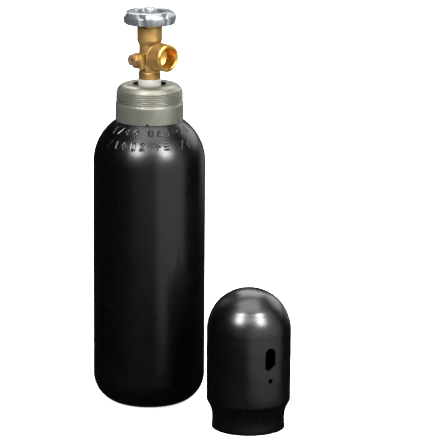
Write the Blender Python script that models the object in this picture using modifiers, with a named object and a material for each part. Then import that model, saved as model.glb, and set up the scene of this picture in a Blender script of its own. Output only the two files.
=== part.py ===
"""Small steel gas cylinder with a brass valve, and its loose screw-on protective cap.

Metres, +Z up, floor at z = 0.  The cylinder stands on the -X side with its valve outlet along +X
and its safety plug along -Y.  The cap stands on the floor beside it, on the +X side.  The origin
is on the floor, under the middle of the pair's bounding box.
Every size below is in millimetres, and heights are above the floor; MM turns them into metres.
"""
import math

import bmesh
import bpy
from mathutils import Matrix, Vector

MM = 0.001
GAP = 0.3                       # clearance between pieces that touch on the real object
MERGE_DISTANCE = 0.00001        # metres, for the vertices of a turned shape that meet on its axis
SHARP_ANGLE = math.radians(35)

# Facets round each kind of turned piece.
LARGE_ROUND = 40
MEDIUM_ROUND = 32
SMALL_ROUND = 24
FINE_ROUND = 12
HEXAGON = 6

# Driving dimensions.
CYLINDER_RADIUS = 133.35 / 2    # 5.25 in tube
CYLINDER_WALL = 3.2
CAP_RADIUS = 49.5
CAP_WALL = 2.8
PAIR_SPACING = 161.8            # cylinder axis to cap axis, along X
CAP_Y = 10.1
NECK_THREAD_RADIUS = 79.4 / 2   # 3-1/8 in, 11 threads an inch
NECK_THREAD_PITCH = 25.4 / 11
NECK_THREAD_DEPTH = 1.4

CYLINDER_X = -(PAIR_SPACING + CAP_RADIUS - CYLINDER_RADIUS) / 2
CAP_X = CYLINDER_X + PAIR_SPACING

# Steel shell.
BASE_CORNER = 34.8              # outside corner radius between the wall and the base
FOOT_WIDTH = 4.0                # flat ring that the cylinder stands on
BASE_RISE = 11.0                # height of the dished base's middle
BASE_THICKNESS = 7.0
CORNER_THICKENING = 0.6         # extra at the inside corner
# Dished base: share of the foot's inner radius, and share of the rise there.
BASE_DISH = ((1.0, 0.0), (0.75, 0.4), (0.4, 0.84), (0.0, 1.0))
SHOULDER_START = 294.0          # top of the straight wall
SHOULDER_RADIUS = 60.4
SHOULDER_THICKENING = 5.5       # drop of the inner shoulder's centre, which thickens it to the neck
NECK_RADIUS = 19.3
NECK_TOP = 384.0
NECK_FILLET = 3.8
NECK_BORE = 13.9

# Neck ring, shrunk on the neck, which carries the cap's thread.
RING_RADIUS = 40.5
RING_BOTTOM = 344.2
RING_TOP = 388.0
RING_ROUNDING = 12.0
RING_MOUTH = NECK_RADIUS + GAP + 0.2
RING_MOUTH_CHAMFER = 0.6
RING_SEAT_GAP = GAP + 0.1       # over the shoulder
THREAD_TOP = 382.2
THREAD_COUNT = 7
THREAD_FIRST_ROOT = 0.4         # turns below THREAD_TOP
FLANGE_EDGE = 0.8               # bevel over the plain lower part
RING_NOTCH_RADIUS = 1.4         # small hole at the ring's lower edge
RING_NOTCH_RISE = 0.8
RING_NOTCH_REACH = 3.0
RING_NOTCH_TURN = math.radians(-46)

# Valve body, a brass forging on the cylinder's axis.
INLET_RADIUS = 12.5
INLET_BOTTOM = 366.0
COLLAR_BOTTOM = 394.0
COLLAR_TOP = 401.0
COLLAR_RADIUS = 13.2
COLLAR_FLATS = 23.0
LOWER_WAIST_RADIUS = 12.3
UPPER_WAIST_RADIUS = 12.4
WAIST_TOP = 434.2
BARREL_BOTTOM = 439.2
BARREL_RADIUS = 14.8
BARREL_TOP = 455.7
EDGE_BREAK = 0.6                # small bevel on turned edges
GAS_BORE = 3.2
GAS_BORE_TOP = 415.0
ORIFICE = 1.9                   # narrow end of the gas bore, under the seat
SEAT_HEIGHT = 422.2
SEAT_LAND_RADIUS = 4.4
CHAMBER_FLOOR = 421.4
CHAMBER_RADIUS = 8.6
BONNET_BORE = 10.6
BONNET_LEDGE = 443.7

# Outlet, a female 0.965 in thread along +X.
OUTLET_HEIGHT = 422.0
OUTLET_RADIUS = 16.35
OUTLET_FACE = 33.5
OUTLET_CHAMFER = 1.8            # outside, round the face
OUTLET_REAR = (8.5, 11.5)       # where the boss's back edge starts and reaches full size
OUTLET_REAR_DROP = 2.5
OUTLET_BORE = 11.7
OUTLET_MOUTH = 12.7
OUTLET_FLOOR = 12.8
OUTLET_FLOOR_RADIUS = 6.5
OUTLET_FLOOR_RISE = 3.5
OUTLET_PASSAGE_HEIGHT = 426.0
OUTLET_PASSAGE_RADIUS = 2.3

# Safety relief, along -Y.
SAFETY_HEIGHT = 418.8
SAFETY_BLOCK_HALF = 8.0         # half width of the forging's square boss
SAFETY_BLOCK_REACH = (3.0, 20.0)         # from the valve's axis
SAFETY_BLOCK_DROP = 11.0        # from the plug's axis to the boss's underside
SAFETY_BLOCK_RISE = 6.4
SAFETY_TIP_RADIUS = 7.4         # round end of the boss
SAFETY_FACE = 24.5
SAFETY_BORE = 4.7
SAFETY_FLOOR = 17.0
SAFETY_PASSAGE_RADIUS = 1.4
SAFETY_HEAD_END = 29.4
SAFETY_HEX_RADIUS = 7.1
SAFETY_GASKET_HOLE = 2.0
SAFETY_GASKET = 0.8             # thickness
SAFETY_DISC = 0.5
SAFETY_VENT = 1.7
PASSAGE_START = 0.5             # the valve's side passages start this far from its axis

# Bonnet, stem and plug, inside the barrel.
BONNET_RADIUS = 10.3
BONNET_BOTTOM = 444.9
BONNET_TOP = 458.8
BONNET_HEX_RADIUS = 12.1
PACKING_RADIUS = 6.9
PACKING_TOP = 450.3
STEM_RADIUS = 4.0
STEM_THREAD_RADIUS = 3.0
STEM_TOP = 478.4
STEM_COLLAR_RADIUS = 8.0
STEM_COLLAR = (441.0, 443.2)
STEM_SQUARE = 5.6
SQUARE_TOP = 467.4
TANG_THICKNESS = 3.0
TANG_WIDTH = 11.0
TANG_BOTTOM = 432.0
PLUG_RADIUS = 8.2
PLUG_TIP_RADIUS = 6.0
PLUG_BOTTOM = 422.7
PLUG_SHOULDER = 428.0
PLUG_TOP = 436.0
PLUG_SLOT_FLOOR = 427.6
SEAT_DISC_RADIUS = 4.6
SEAT_DISC_TOP = 425.0
O_RING_HEIGHT = 447.1
BACKUP_RING = 1.4               # thickness
SEAL_GAP = GAP + 0.05

# Handwheel and its fastening.
WHEEL_BOTTOM = 459.7
WHEEL_RIM_TOP = WHEEL_BOTTOM + 15.5
WHEEL_HUB_TOP = WHEEL_BOTTOM + 8.0
# Its section: radius, and height over WHEEL_BOTTOM.
WHEEL_HUB = ((0.0, 8.0), (8.6, 8.0), (8.6, 11.5), (10.6, 11.5), (11.0, 8.5), (15.0, 8.5))
WHEEL_RIM = ((17.6, 14.4), (19.0, 15.3), (23.0, 15.5), (26.6, 14.8), (29.2, 13.0), (30.7, 10.6),
             (31.2, 8.2), (31.0, 5.0), (30.2, 1.6), (28.8, 0.0))
WHEEL_UNDERSIDE = ((24.8, 0.0), (23.8, 7.0), (22.0, 9.0), (18.0, 8.6), (15.6, 4.1), (14.2, 0.0), (0.0, 0.0))
WHEEL_LOBES = 6
WHEEL_NOTCH_TURN = math.radians(-58.7)   # first notch, from +X
NOTCH_TOP_WIDTH = 9.6
NOTCH_FLOOR_WIDTH = 5.4
NOTCH_FLOOR = WHEEL_BOTTOM + 8.6
NOTCH_RADIUS = 26.6             # its inner wall
NOTCH_REACH = 5.0               # half of the cutter's depth
NOTCH_OVERSHOOT = 3.0
SCALLOP_RADIUS = 5.5
SCALLOP_DISTANCE = 33.8
SPRING_RADIUS = 5.0
SPRING_WIRE = 0.6
SPRING_TURNS = 2.5
SPRING_BOTTOM = WHEEL_HUB_TOP + 1.0
SPRING_TOP = WHEEL_HUB_TOP + 5.2
NUT_BOTTOM = WHEEL_RIM_TOP
NUT_TOP = NUT_BOTTOM + 2.7
NUT_HEX_RADIUS = 6.35
WASHER_RADIUS = 7.0

# Protective cap.
CAP_DOME_HEIGHT = 117.7         # centre of the half-round dome
CAP_NECK_RADIUS = 42.5
CAP_RIM_RADIUS = 43.0
# Outside step from the wall down to the neck: distance in from CAP_RADIUS, and height.
CAP_STEP = ((0.0, 35.0), (0.8, 31.5), (3.4, 26.5), (6.0, 22.0))
CAP_NECK = (17.0, 9.0)          # top of the neck and where it starts to flare
CAP_THREAD_BORE = 39.2
CAP_THREAD_CHAMFER = 1.2
CAP_BORE_TOP = 19.0
CAP_INSIDE_BOTTOM = 37.0        # where the inside reaches its full width
CAP_SLOT_TURN = math.radians(-13)        # first slot, from +X
CAP_SLOT_WIDTH = 13.8
CAP_SLOT_TOP = 105.8
CAP_SLOT_BOTTOM = 78.4
CAP_SLOT_CORNERS = (82.7, 85.6)  # heights where its sides meet its lopsided V bottom
CAP_SLOT_APEX = -2.8            # sideways offset of the V's point
CAP_HOLE_RADIUS = 3.0
CAP_HOLE_HEIGHT = 66.5
THROUGH = 5.0                   # a cutter's overshoot past a wall


# ---------------------------------------------------------------- scene and materials

def clear_scene():
    for obj in list(bpy.data.objects):
        bpy.data.objects.remove(obj, do_unlink=True)


def new_collection(name):
    collection = bpy.data.collections.new(name)
    bpy.context.scene.collection.children.link(collection)
    return collection


def finish_material(name, color, roughness, metallic):
    made = bpy.data.materials.new(name)
    made.use_nodes = True
    shader = made.node_tree.nodes["Principled BSDF"]
    shader.inputs["Base Color"].default_value = (*color, 1.0)
    shader.inputs["Roughness"].default_value = roughness
    shader.inputs["Metallic"].default_value = metallic
    return made


def empty(name, location, parent=None):
    made = bpy.data.objects.new(name, None)
    made.location = Vector(location) * MM
    made.parent = parent
    PARTS.objects.link(made)
    return made


# ---------------------------------------------------------------- shapes

def arc(centre, radius, start, end, steps):
    """Points on an arc about (radius, height) centre, from start to end, in degrees."""
    angles = [math.radians(start + (end - start) * i / steps) for i in range(steps + 1)]
    return [(centre[0] + radius * math.cos(a), centre[1] + radius * math.sin(a)) for a in angles]


def add(name, mesh, collection):
    obj = bpy.data.objects.new(name, mesh)
    collection.objects.link(obj)
    return obj


def lathe(name, profile, segments, collection, closed=True):
    """Turn a profile of (radius, height) points about Z; it runs down its outer side."""
    points = [(radius * MM, 0.0, height * MM) for radius, height in profile]
    edges = [(i, i + 1) for i in range(len(points) - 1)]
    if closed:
        edges.append((len(points) - 1, 0))
    mesh = bpy.data.meshes.new(name)
    mesh.from_pydata(points, edges, [])
    obj = add(name, mesh, collection)
    screw = obj.modifiers.new("turn", "SCREW")
    screw.axis = "Z"
    screw.steps = segments
    screw.render_steps = segments
    screw.use_merge_vertices = True
    screw.merge_threshold = MERGE_DISTANCE
    return obj


def ring(name, inner, outer, bottom, top, collection, segments=SMALL_ROUND):
    """A flat washer between two radii and two heights."""
    profile = [(inner, top), (outer, top), (outer, bottom), (inner, bottom)]
    return lathe(name, profile, segments, collection)


def rod(name, radius, bottom, top, collection, segments=SMALL_ROUND):
    """A solid cylinder about Z."""
    profile = [(0, top), (radius, top), (radius, bottom), (0, bottom)]
    return lathe(name, profile, segments, collection, closed=False)


def box(name, low, high, collection):
    """A block between two corners."""
    low, high = Vector(low) * MM, Vector(high) * MM
    shape = bmesh.new()
    bmesh.ops.create_cube(shape, size=1.0)
    size = Matrix.Diagonal((*(high - low), 1.0))
    shape.transform(Matrix.Translation((low + high) / 2) @ size)
    mesh = bpy.data.meshes.new(name)
    shape.to_mesh(mesh)
    shape.free()
    return add(name, mesh, collection)


def outline_prism(name, outline, half_depth, collection):
    """A flat outline of (x, y) points, extruded both ways along Z, as a closed mesh."""
    curve = bpy.data.curves.new(name, "CURVE")
    curve.dimensions = "2D"
    curve.fill_mode = "BOTH"
    curve.extrude = half_depth * MM
    spline = curve.splines.new("POLY")
    spline.points.add(len(outline) - 1)
    for point, (x, y) in zip(spline.points, outline):
        point.co = (x * MM, y * MM, 0.0, 1.0)
    spline.use_cyclic_u = True
    guide = add(name, curve, collection)
    bpy.context.view_layer.update()
    mesh = bpy.data.meshes.new_from_object(guide.evaluated_get(bpy.context.evaluated_depsgraph_get()))
    bpy.data.objects.remove(guide, do_unlink=True)
    shape = bmesh.new()
    shape.from_mesh(mesh)
    bmesh.ops.remove_doubles(shape, verts=shape.verts, dist=MERGE_DISTANCE)
    bmesh.ops.recalc_face_normals(shape, faces=shape.faces)
    shape.to_mesh(mesh)
    shape.free()
    return add(name, mesh, collection)


# ---------------------------------------------------------------- placing and cutting

ALONG_OUTLET = Matrix.Rotation(math.pi / 2, 4, "Y")       # turns +Z to +X
ALONG_SAFETY = Matrix.Rotation(math.pi / 2, 4, "X")       # turns +Z to -Y


def place(obj, parent, location=(0, 0, 0), turn=None):
    obj.parent = parent
    rotation = turn if turn else Matrix.Identity(4)
    obj.matrix_local = Matrix.Translation(Vector(location) * MM) @ rotation
    return obj


def boolean(obj, other, operation):
    """Cut obj with, or join it to, a helper object from the cutters collection."""
    other.hide_render = True
    other.display_type = "WIRE"
    modifier = obj.modifiers.new(other.name, "BOOLEAN")
    modifier.operation = operation
    modifier.solver = "EXACT"
    modifier.object = other


def cut(obj, cutter):
    boolean(obj, cutter, "DIFFERENCE")


def join(obj, other):
    boolean(obj, other, "UNION")


def finish(obj, material):
    """Apply the modifiers, shade the round faces smooth and give the piece its material."""
    bpy.context.view_layer.update()
    evaluated = obj.evaluated_get(bpy.context.evaluated_depsgraph_get())
    mesh = bpy.data.meshes.new_from_object(evaluated)
    obj.modifiers.clear()
    obj.data = mesh
    mesh.materials.clear()
    mesh.materials.append(material)
    mesh.shade_smooth()
    mesh.set_sharp_from_angle(angle=SHARP_ANGLE)
    return obj


# ---------------------------------------------------------------- steel shell and neck

def shoulder_arc(offset, from_radius, to_radius, steps):
    """The shoulder's outside curve, moved out by offset, from one radius to another."""
    centre = (CYLINDER_RADIUS - SHOULDER_RADIUS, SHOULDER_START)
    size = SHOULDER_RADIUS + offset
    start = math.degrees(math.acos(min(1.0, (from_radius - centre[0]) / size)))
    end = math.degrees(math.acos(min(1.0, (to_radius - centre[0]) / size)))
    return arc(centre, size, start, end, steps)


def make_shell():
    outer = [(NECK_BORE, NECK_TOP), (NECK_RADIUS, NECK_TOP)]
    fillet_foot = shoulder_arc(0, NECK_RADIUS + NECK_FILLET, NECK_RADIUS + NECK_FILLET, 1)[0]
    outer.append((NECK_RADIUS, fillet_foot[1] + NECK_FILLET))
    outer += shoulder_arc(0, NECK_RADIUS + NECK_FILLET, CYLINDER_RADIUS, 9)
    corner = (CYLINDER_RADIUS - BASE_CORNER, BASE_CORNER)
    outer += arc(corner, BASE_CORNER, 0, -90, 6)
    foot_inner = corner[0] - FOOT_WIDTH
    base = [(foot_inner * share, BASE_RISE * rise) for share, rise in BASE_DISH]

    inside = CYLINDER_RADIUS - CYLINDER_WALL
    inner_corner = BASE_CORNER - CYLINDER_WALL
    inner = [(0, BASE_RISE + BASE_THICKNESS), (foot_inner * 0.6, BASE_THICKNESS + BASE_RISE * 0.6)]
    corner_height = BASE_THICKNESS + CORNER_THICKENING + inner_corner
    inner += arc((inside - inner_corner, corner_height), inner_corner, -90, 0, 5)
    top_centre = (CYLINDER_RADIUS - SHOULDER_RADIUS, SHOULDER_START - SHOULDER_THICKENING)
    top_size = SHOULDER_RADIUS - CYLINDER_WALL
    top_angle = math.degrees(math.acos((NECK_BORE - top_centre[0]) / top_size))
    inner += arc(top_centre, top_size, 0, top_angle, 6)
    profile = outer + base + inner
    shell = lathe("cylinder_shell", profile, LARGE_ROUND, PARTS)
    place(shell, CYLINDER)
    return finish(shell, BLACK_STEEL)


def make_neck_ring():
    top_centre = (NECK_THREAD_RADIUS - RING_ROUNDING, RING_TOP - RING_ROUNDING)
    thread_root = NECK_THREAD_RADIUS - NECK_THREAD_DEPTH
    rounding_end = math.degrees(math.asin((THREAD_TOP - top_centre[1]) / RING_ROUNDING))
    profile = [(RING_MOUTH, RING_TOP - RING_MOUTH_CHAMFER), (RING_MOUTH + RING_MOUTH_CHAMFER, RING_TOP)]
    profile += arc(top_centre, RING_ROUNDING, 90, rounding_end, 4)
    for turn in range(THREAD_COUNT):
        root_height = THREAD_TOP - (turn + THREAD_FIRST_ROOT) * NECK_THREAD_PITCH
        crest_height = root_height - NECK_THREAD_PITCH / 2
        profile += [(thread_root, root_height), (NECK_THREAD_RADIUS, crest_height)]
    flange_top = profile[-1][1] - FLANGE_EDGE
    profile += [(NECK_THREAD_RADIUS, flange_top), (RING_RADIUS, flange_top - FLANGE_EDGE),
                (RING_RADIUS, RING_BOTTOM)]
    underside = shoulder_arc(RING_SEAT_GAP, RING_RADIUS, NECK_RADIUS + NECK_FILLET + GAP, 4)
    profile += underside[1:]
    profile += [(NECK_RADIUS + GAP, underside[-1][1] + NECK_FILLET + GAP), (NECK_RADIUS + GAP, NECK_TOP - 1)]
    collar = lathe("neck_ring", profile, LARGE_ROUND, PARTS)
    place(collar, CYLINDER)
    notch = rod("ring_notch", RING_NOTCH_RADIUS, RING_RADIUS - RING_NOTCH_REACH,
                RING_RADIUS + RING_NOTCH_REACH, CUTTERS, FINE_ROUND)
    cut(collar, place(notch, CYLINDER, (0, 0, RING_BOTTOM + RING_NOTCH_RISE),
                      Matrix.Rotation(RING_NOTCH_TURN, 4, "Z") @ ALONG_OUTLET))
    return finish(collar, BARE_STEEL)


def make_seal_tape():
    tape = ring("thread_seal_tape", INLET_RADIUS + GAP, NECK_BORE - GAP, INLET_BOTTOM + 2,
                COLLAR_BOTTOM - GAP, PARTS, MEDIUM_ROUND)
    place(tape, CYLINDER)
    return finish(tape, WHITE_TAPE)


# ---------------------------------------------------------------- valve body

def make_valve_body():
    outer = [(0, BARREL_TOP), (BARREL_RADIUS - EDGE_BREAK, BARREL_TOP),
             (BARREL_RADIUS, BARREL_TOP - EDGE_BREAK), (BARREL_RADIUS, BARREL_BOTTOM),
             (UPPER_WAIST_RADIUS, WAIST_TOP),
             (LOWER_WAIST_RADIUS, COLLAR_TOP), (COLLAR_RADIUS, COLLAR_TOP), (COLLAR_RADIUS, COLLAR_BOTTOM),
             (INLET_RADIUS, COLLAR_BOTTOM), (INLET_RADIUS, INLET_BOTTOM + 1),
             (INLET_RADIUS - 1, INLET_BOTTOM), (0, INLET_BOTTOM)]
    body = lathe("valve_body", outer, MEDIUM_ROUND, PARTS, closed=False)
    place(body, CYLINDER)
    join(body, outlet_boss())
    join(body, safety_block())
    join(body, safety_boss())
    for cutter in [outlet_cutter(), safety_cutter(), chamber_cutter(), outlet_passage_cutter(),
                   *collar_flat_cutters()]:
        cut(body, cutter)
        body.modifiers.new("triangles", "TRIANGULATE")      # ring-shaped faces break the next cut
    return finish(body, BRASS)


def outlet_boss():
    rear_start, rear_full = OUTLET_REAR
    profile = [(0, OUTLET_FACE), (OUTLET_RADIUS - OUTLET_CHAMFER, OUTLET_FACE),
               (OUTLET_RADIUS, OUTLET_FACE - OUTLET_CHAMFER), (OUTLET_RADIUS, rear_full),
               (OUTLET_RADIUS - OUTLET_REAR_DROP, rear_start), (0, rear_start - 1)]
    boss = lathe("outlet_boss", profile, MEDIUM_ROUND, CUTTERS, closed=False)
    return place(boss, CYLINDER, (0, 0, OUTLET_HEIGHT), ALONG_OUTLET)


def safety_block():
    """Square part of the forging that carries the relief plug."""
    near, far = SAFETY_BLOCK_REACH
    low = (-SAFETY_BLOCK_HALF, -far, SAFETY_HEIGHT - SAFETY_BLOCK_DROP)
    high = (SAFETY_BLOCK_HALF, -near, SAFETY_HEIGHT + SAFETY_BLOCK_RISE)
    return place(box("safety_block", low, high, CUTTERS), CYLINDER)


def safety_boss():
    boss = rod("safety_boss", SAFETY_TIP_RADIUS, SAFETY_BLOCK_REACH[1] - 2, SAFETY_FACE, CUTTERS)
    return place(boss, CYLINDER, (0, 0, SAFETY_HEIGHT), ALONG_SAFETY)


def collar_flat_cutters():
    """Four blocks that mill the wrench flats into the collar."""
    near, far = COLLAR_FLATS / 2, COLLAR_FLATS
    cutters = []
    for side in range(4):
        block = box(f"collar_flat_{side}", (near, -far, COLLAR_BOTTOM - 0.1), (far, far, COLLAR_TOP + 1),
                    CUTTERS)
        place(block, CYLINDER, turn=Matrix.Rotation(side * math.pi / 2, 4, "Z"))
        cutters.append(block)
    return cutters


def chamber_cutter():
    profile = [(0, BARREL_TOP + 2), (BONNET_BORE, BARREL_TOP + 2), (BONNET_BORE, BONNET_LEDGE),
               (CHAMBER_RADIUS, BONNET_LEDGE), (CHAMBER_RADIUS, CHAMBER_FLOOR),
               (SEAT_LAND_RADIUS, CHAMBER_FLOOR), (SEAT_LAND_RADIUS, SEAT_HEIGHT),
               (ORIFICE, SEAT_HEIGHT), (ORIFICE, GAS_BORE_TOP + 1), (GAS_BORE, GAS_BORE_TOP),
               (GAS_BORE, INLET_BOTTOM - 2), (0, INLET_BOTTOM - 2)]
    cutter = lathe("chamber_cutter", profile, SMALL_ROUND, CUTTERS, closed=False)
    return place(cutter, CYLINDER)


def outlet_cutter():
    chamfer = OUTLET_MOUTH - OUTLET_BORE
    profile = [(0, OUTLET_FACE + 2), (OUTLET_MOUTH + 2, OUTLET_FACE + 2),
               (OUTLET_BORE, OUTLET_FACE - chamfer), (OUTLET_BORE, OUTLET_FLOOR + OUTLET_FLOOR_RISE),
               (OUTLET_FLOOR_RADIUS, OUTLET_FLOOR), (0, OUTLET_FLOOR)]
    cutter = lathe("outlet_cutter", profile, MEDIUM_ROUND, CUTTERS, closed=False)
    return place(cutter, CYLINDER, (0, 0, OUTLET_HEIGHT), ALONG_OUTLET)


def outlet_passage_cutter():
    cutter = rod("outlet_passage", OUTLET_PASSAGE_RADIUS, CHAMBER_RADIUS - 2, OUTLET_FLOOR + 1, CUTTERS,
                 FINE_ROUND)
    return place(cutter, CYLINDER, (0, 0, OUTLET_PASSAGE_HEIGHT), ALONG_OUTLET)


def safety_cutter():
    profile = [(0, SAFETY_FACE + 2), (SAFETY_BORE, SAFETY_FACE + 2), (SAFETY_BORE, SAFETY_FLOOR),
               (SAFETY_PASSAGE_RADIUS, SAFETY_FLOOR), (SAFETY_PASSAGE_RADIUS, PASSAGE_START),
               (0, PASSAGE_START)]
    cutter = lathe("safety_cutter", profile, SMALL_ROUND, CUTTERS, closed=False)
    return place(cutter, CYLINDER, (0, 0, SAFETY_HEIGHT), ALONG_SAFETY)


# ---------------------------------------------------------------- safety relief

def make_safety_parts():
    """Gasket, rupture disc and hollow plug, one behind the other in the safety bore."""
    gasket_end = SAFETY_FLOOR + GAP + SAFETY_GASKET
    disc_end = gasket_end + GAP + SAFETY_DISC
    shank_start = disc_end + GAP
    shank_radius = SAFETY_BORE - GAP
    gasket = ring("safety_gasket", SAFETY_GASKET_HOLE, shank_radius, SAFETY_FLOOR + GAP, gasket_end, PARTS)
    disc = rod("rupture_disc", shank_radius, gasket_end + GAP, disc_end, PARTS)
    plug = lathe("safety_plug", [(0, SAFETY_HEAD_END - 1), (shank_radius, SAFETY_HEAD_END - 1),
                                 (shank_radius, shank_start), (0, shank_start)],
                 SMALL_ROUND, PARTS, closed=False)
    head = lathe("safety_head", [(0, SAFETY_HEAD_END), (SAFETY_HEX_RADIUS - EDGE_BREAK, SAFETY_HEAD_END),
                                 (SAFETY_HEX_RADIUS, SAFETY_HEAD_END - EDGE_BREAK),
                                 (SAFETY_HEX_RADIUS, SAFETY_FACE + GAP), (0, SAFETY_FACE + GAP)],
                 HEXAGON, CUTTERS, closed=False)
    vent = rod("safety_vent", SAFETY_VENT, shank_start - 1, SAFETY_HEAD_END + 1, CUTTERS, FINE_ROUND)
    for obj in (gasket, disc, plug, head, vent):
        place(obj, CYLINDER, (0, 0, SAFETY_HEIGHT), ALONG_SAFETY)
    join(plug, head)
    cut(plug, vent)
    finish(gasket, COPPER)
    finish(disc, COPPER)
    finish(plug, BRASS)


# ---------------------------------------------------------------- bonnet, stem and plug

def make_bonnet():
    shank_top = BARREL_TOP + GAP
    bonnet = rod("bonnet", BONNET_RADIUS, BONNET_BOTTOM, shank_top + 1, PARTS)
    head = rod("bonnet_head", BONNET_HEX_RADIUS, shank_top, BONNET_TOP, CUTTERS, HEXAGON)
    hole = lathe("bonnet_hole", [(0, BONNET_TOP + 1), (STEM_RADIUS + GAP, BONNET_TOP + 1),
                                 (STEM_RADIUS + GAP, PACKING_TOP), (PACKING_RADIUS, PACKING_TOP),
                                 (PACKING_RADIUS, BONNET_BOTTOM - 1), (0, BONNET_BOTTOM - 1)],
                 SMALL_ROUND, CUTTERS, closed=False)
    for obj in (bonnet, head, hole):
        place(obj, CYLINDER)
    join(bonnet, head)
    cut(bonnet, hole)
    finish(bonnet, BRASS)
    gasket = ring("bonnet_gasket", CHAMBER_RADIUS + 0.2, BONNET_RADIUS, BONNET_LEDGE + GAP,
                  BONNET_BOTTOM - GAP, PARTS)
    place(gasket, CYLINDER)
    finish(gasket, NYLON)


def make_stem():
    collar_low, collar_high = STEM_COLLAR
    square_bottom = WHEEL_BOTTOM - 0.4
    profile = [(0, STEM_TOP), (STEM_THREAD_RADIUS - 0.4, STEM_TOP), (STEM_THREAD_RADIUS, STEM_TOP - 0.4),
               (STEM_THREAD_RADIUS, SQUARE_TOP), (STEM_THREAD_RADIUS - 0.5, SQUARE_TOP),
               (STEM_THREAD_RADIUS - 0.5, square_bottom), (STEM_RADIUS, square_bottom),
               (STEM_RADIUS, collar_high), (STEM_COLLAR_RADIUS, collar_high),
               (STEM_COLLAR_RADIUS, collar_low), (0, collar_low)]
    stem = lathe("upper_stem", profile, SMALL_ROUND, PARTS, closed=False)
    half = STEM_SQUARE / 2
    square = box("stem_square", (-half, -half, square_bottom - 0.5), (half, half, SQUARE_TOP), CUTTERS)
    tang = box("stem_tang", (-TANG_WIDTH / 2, -TANG_THICKNESS / 2, TANG_BOTTOM),
               (TANG_WIDTH / 2, TANG_THICKNESS / 2, collar_low + 0.5), CUTTERS)
    for obj in (stem, square, tang):
        place(obj, STEM_AXIS)
    join(stem, square)
    join(stem, tang)
    finish(stem, STAINLESS)


def make_stem_seals():
    """Thrust washer, O-ring and backup ring round the stem, in that order going up."""
    inner = STEM_RADIUS + SEAL_GAP
    outer = PACKING_RADIUS - SEAL_GAP
    washer = ring("thrust_washer", inner, PLUG_RADIUS, STEM_COLLAR[1] + GAP, BONNET_BOTTOM - GAP, PARTS)
    wire = (outer - inner) / 2
    section = arc(((inner + outer) / 2, O_RING_HEIGHT), wire, 90, -225, 7)
    o_ring = lathe("stem_o_ring", section, SMALL_ROUND, PARTS)
    backup = ring("backup_ring", inner, outer, PACKING_TOP - GAP - BACKUP_RING, PACKING_TOP - GAP, PARTS)
    for obj, material in ((washer, NYLON), (o_ring, BLACK_RUBBER), (backup, WHITE_TAPE)):
        place(obj, STEM_AXIS)
        finish(obj, material)


def make_lower_plug():
    profile = [(0, PLUG_TOP), (PLUG_RADIUS, PLUG_TOP), (PLUG_RADIUS, PLUG_SHOULDER),
               (PLUG_TIP_RADIUS, PLUG_SHOULDER - 1), (PLUG_TIP_RADIUS, PLUG_BOTTOM),
               (SEAT_DISC_RADIUS + GAP, PLUG_BOTTOM), (SEAT_DISC_RADIUS + GAP, SEAT_DISC_TOP + GAP),
               (0, SEAT_DISC_TOP + GAP)]
    plug = lathe("lower_plug", profile, SMALL_ROUND, PARTS, closed=False)
    half = TANG_THICKNESS / 2 + GAP + 0.1
    slot = box("plug_slot", (-PLUG_RADIUS - 1, -half, PLUG_SLOT_FLOOR), (PLUG_RADIUS + 1, half, PLUG_TOP + 1),
               CUTTERS)
    disc = rod("seat_disc", SEAT_DISC_RADIUS, SEAT_HEIGHT + GAP, SEAT_DISC_TOP, PARTS)
    for obj in (plug, slot, disc):
        place(obj, STEM_AXIS)
    cut(plug, slot)
    finish(plug, BRASS)
    finish(disc, NYLON)


# ---------------------------------------------------------------- handwheel

def make_handwheel():
    section = WHEEL_HUB + WHEEL_RIM + WHEEL_UNDERSIDE
    profile = [(radius, WHEEL_BOTTOM + height) for radius, height in section]
    wheel = lathe("handwheel", profile, LARGE_ROUND, PARTS, closed=False)
    place(wheel, STEM_AXIS)
    half = STEM_SQUARE / 2 + GAP
    bore = box("wheel_bore", (-half, -half, WHEEL_BOTTOM - 1), (half, half, WHEEL_HUB_TOP + 1), CUTTERS)
    cut(wheel, place(bore, STEM_AXIS))
    for lobe in range(WHEEL_LOBES):
        angle = WHEEL_NOTCH_TURN + lobe * math.tau / WHEEL_LOBES
        beside = (SCALLOP_DISTANCE * math.cos(angle), SCALLOP_DISTANCE * math.sin(angle), 0)
        scallop = rod(f"scallop_{lobe}", SCALLOP_RADIUS, WHEEL_BOTTOM - 2, WHEEL_RIM_TOP + 2, CUTTERS, 16)
        cut(wheel, place(scallop, STEM_AXIS, beside))
        cut(wheel, place(notch_cutter(lobe), STEM_AXIS, turn=Matrix.Rotation(angle, 4, "Z")))
    finish(wheel, CAST_ALUMINIUM)


def notch_cutter(lobe):
    """Wedge, wide at the top, that scoops the rim's upper edge."""
    top, floor = WHEEL_RIM_TOP + NOTCH_OVERSHOOT, NOTCH_FLOOR
    slope = (NOTCH_TOP_WIDTH - NOTCH_FLOOR_WIDTH) / 2 / (WHEEL_RIM_TOP - NOTCH_FLOOR)
    half_top = NOTCH_FLOOR_WIDTH / 2 + slope * (top - floor)
    half_floor = NOTCH_FLOOR_WIDTH / 2
    outline = [(-half_floor, floor), (half_floor, floor), (half_top, top), (-half_top, top)]
    wedge = outline_prism(f"notch_{lobe}", outline, NOTCH_REACH, CUTTERS)
    stand_up = Matrix.Rotation(math.pi / 2, 4, "Z") @ Matrix.Rotation(math.pi / 2, 4, "X")
    wedge.data.transform(Matrix.Translation(((NOTCH_RADIUS + NOTCH_REACH) * MM, 0, 0)) @ stand_up)
    return wedge


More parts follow.
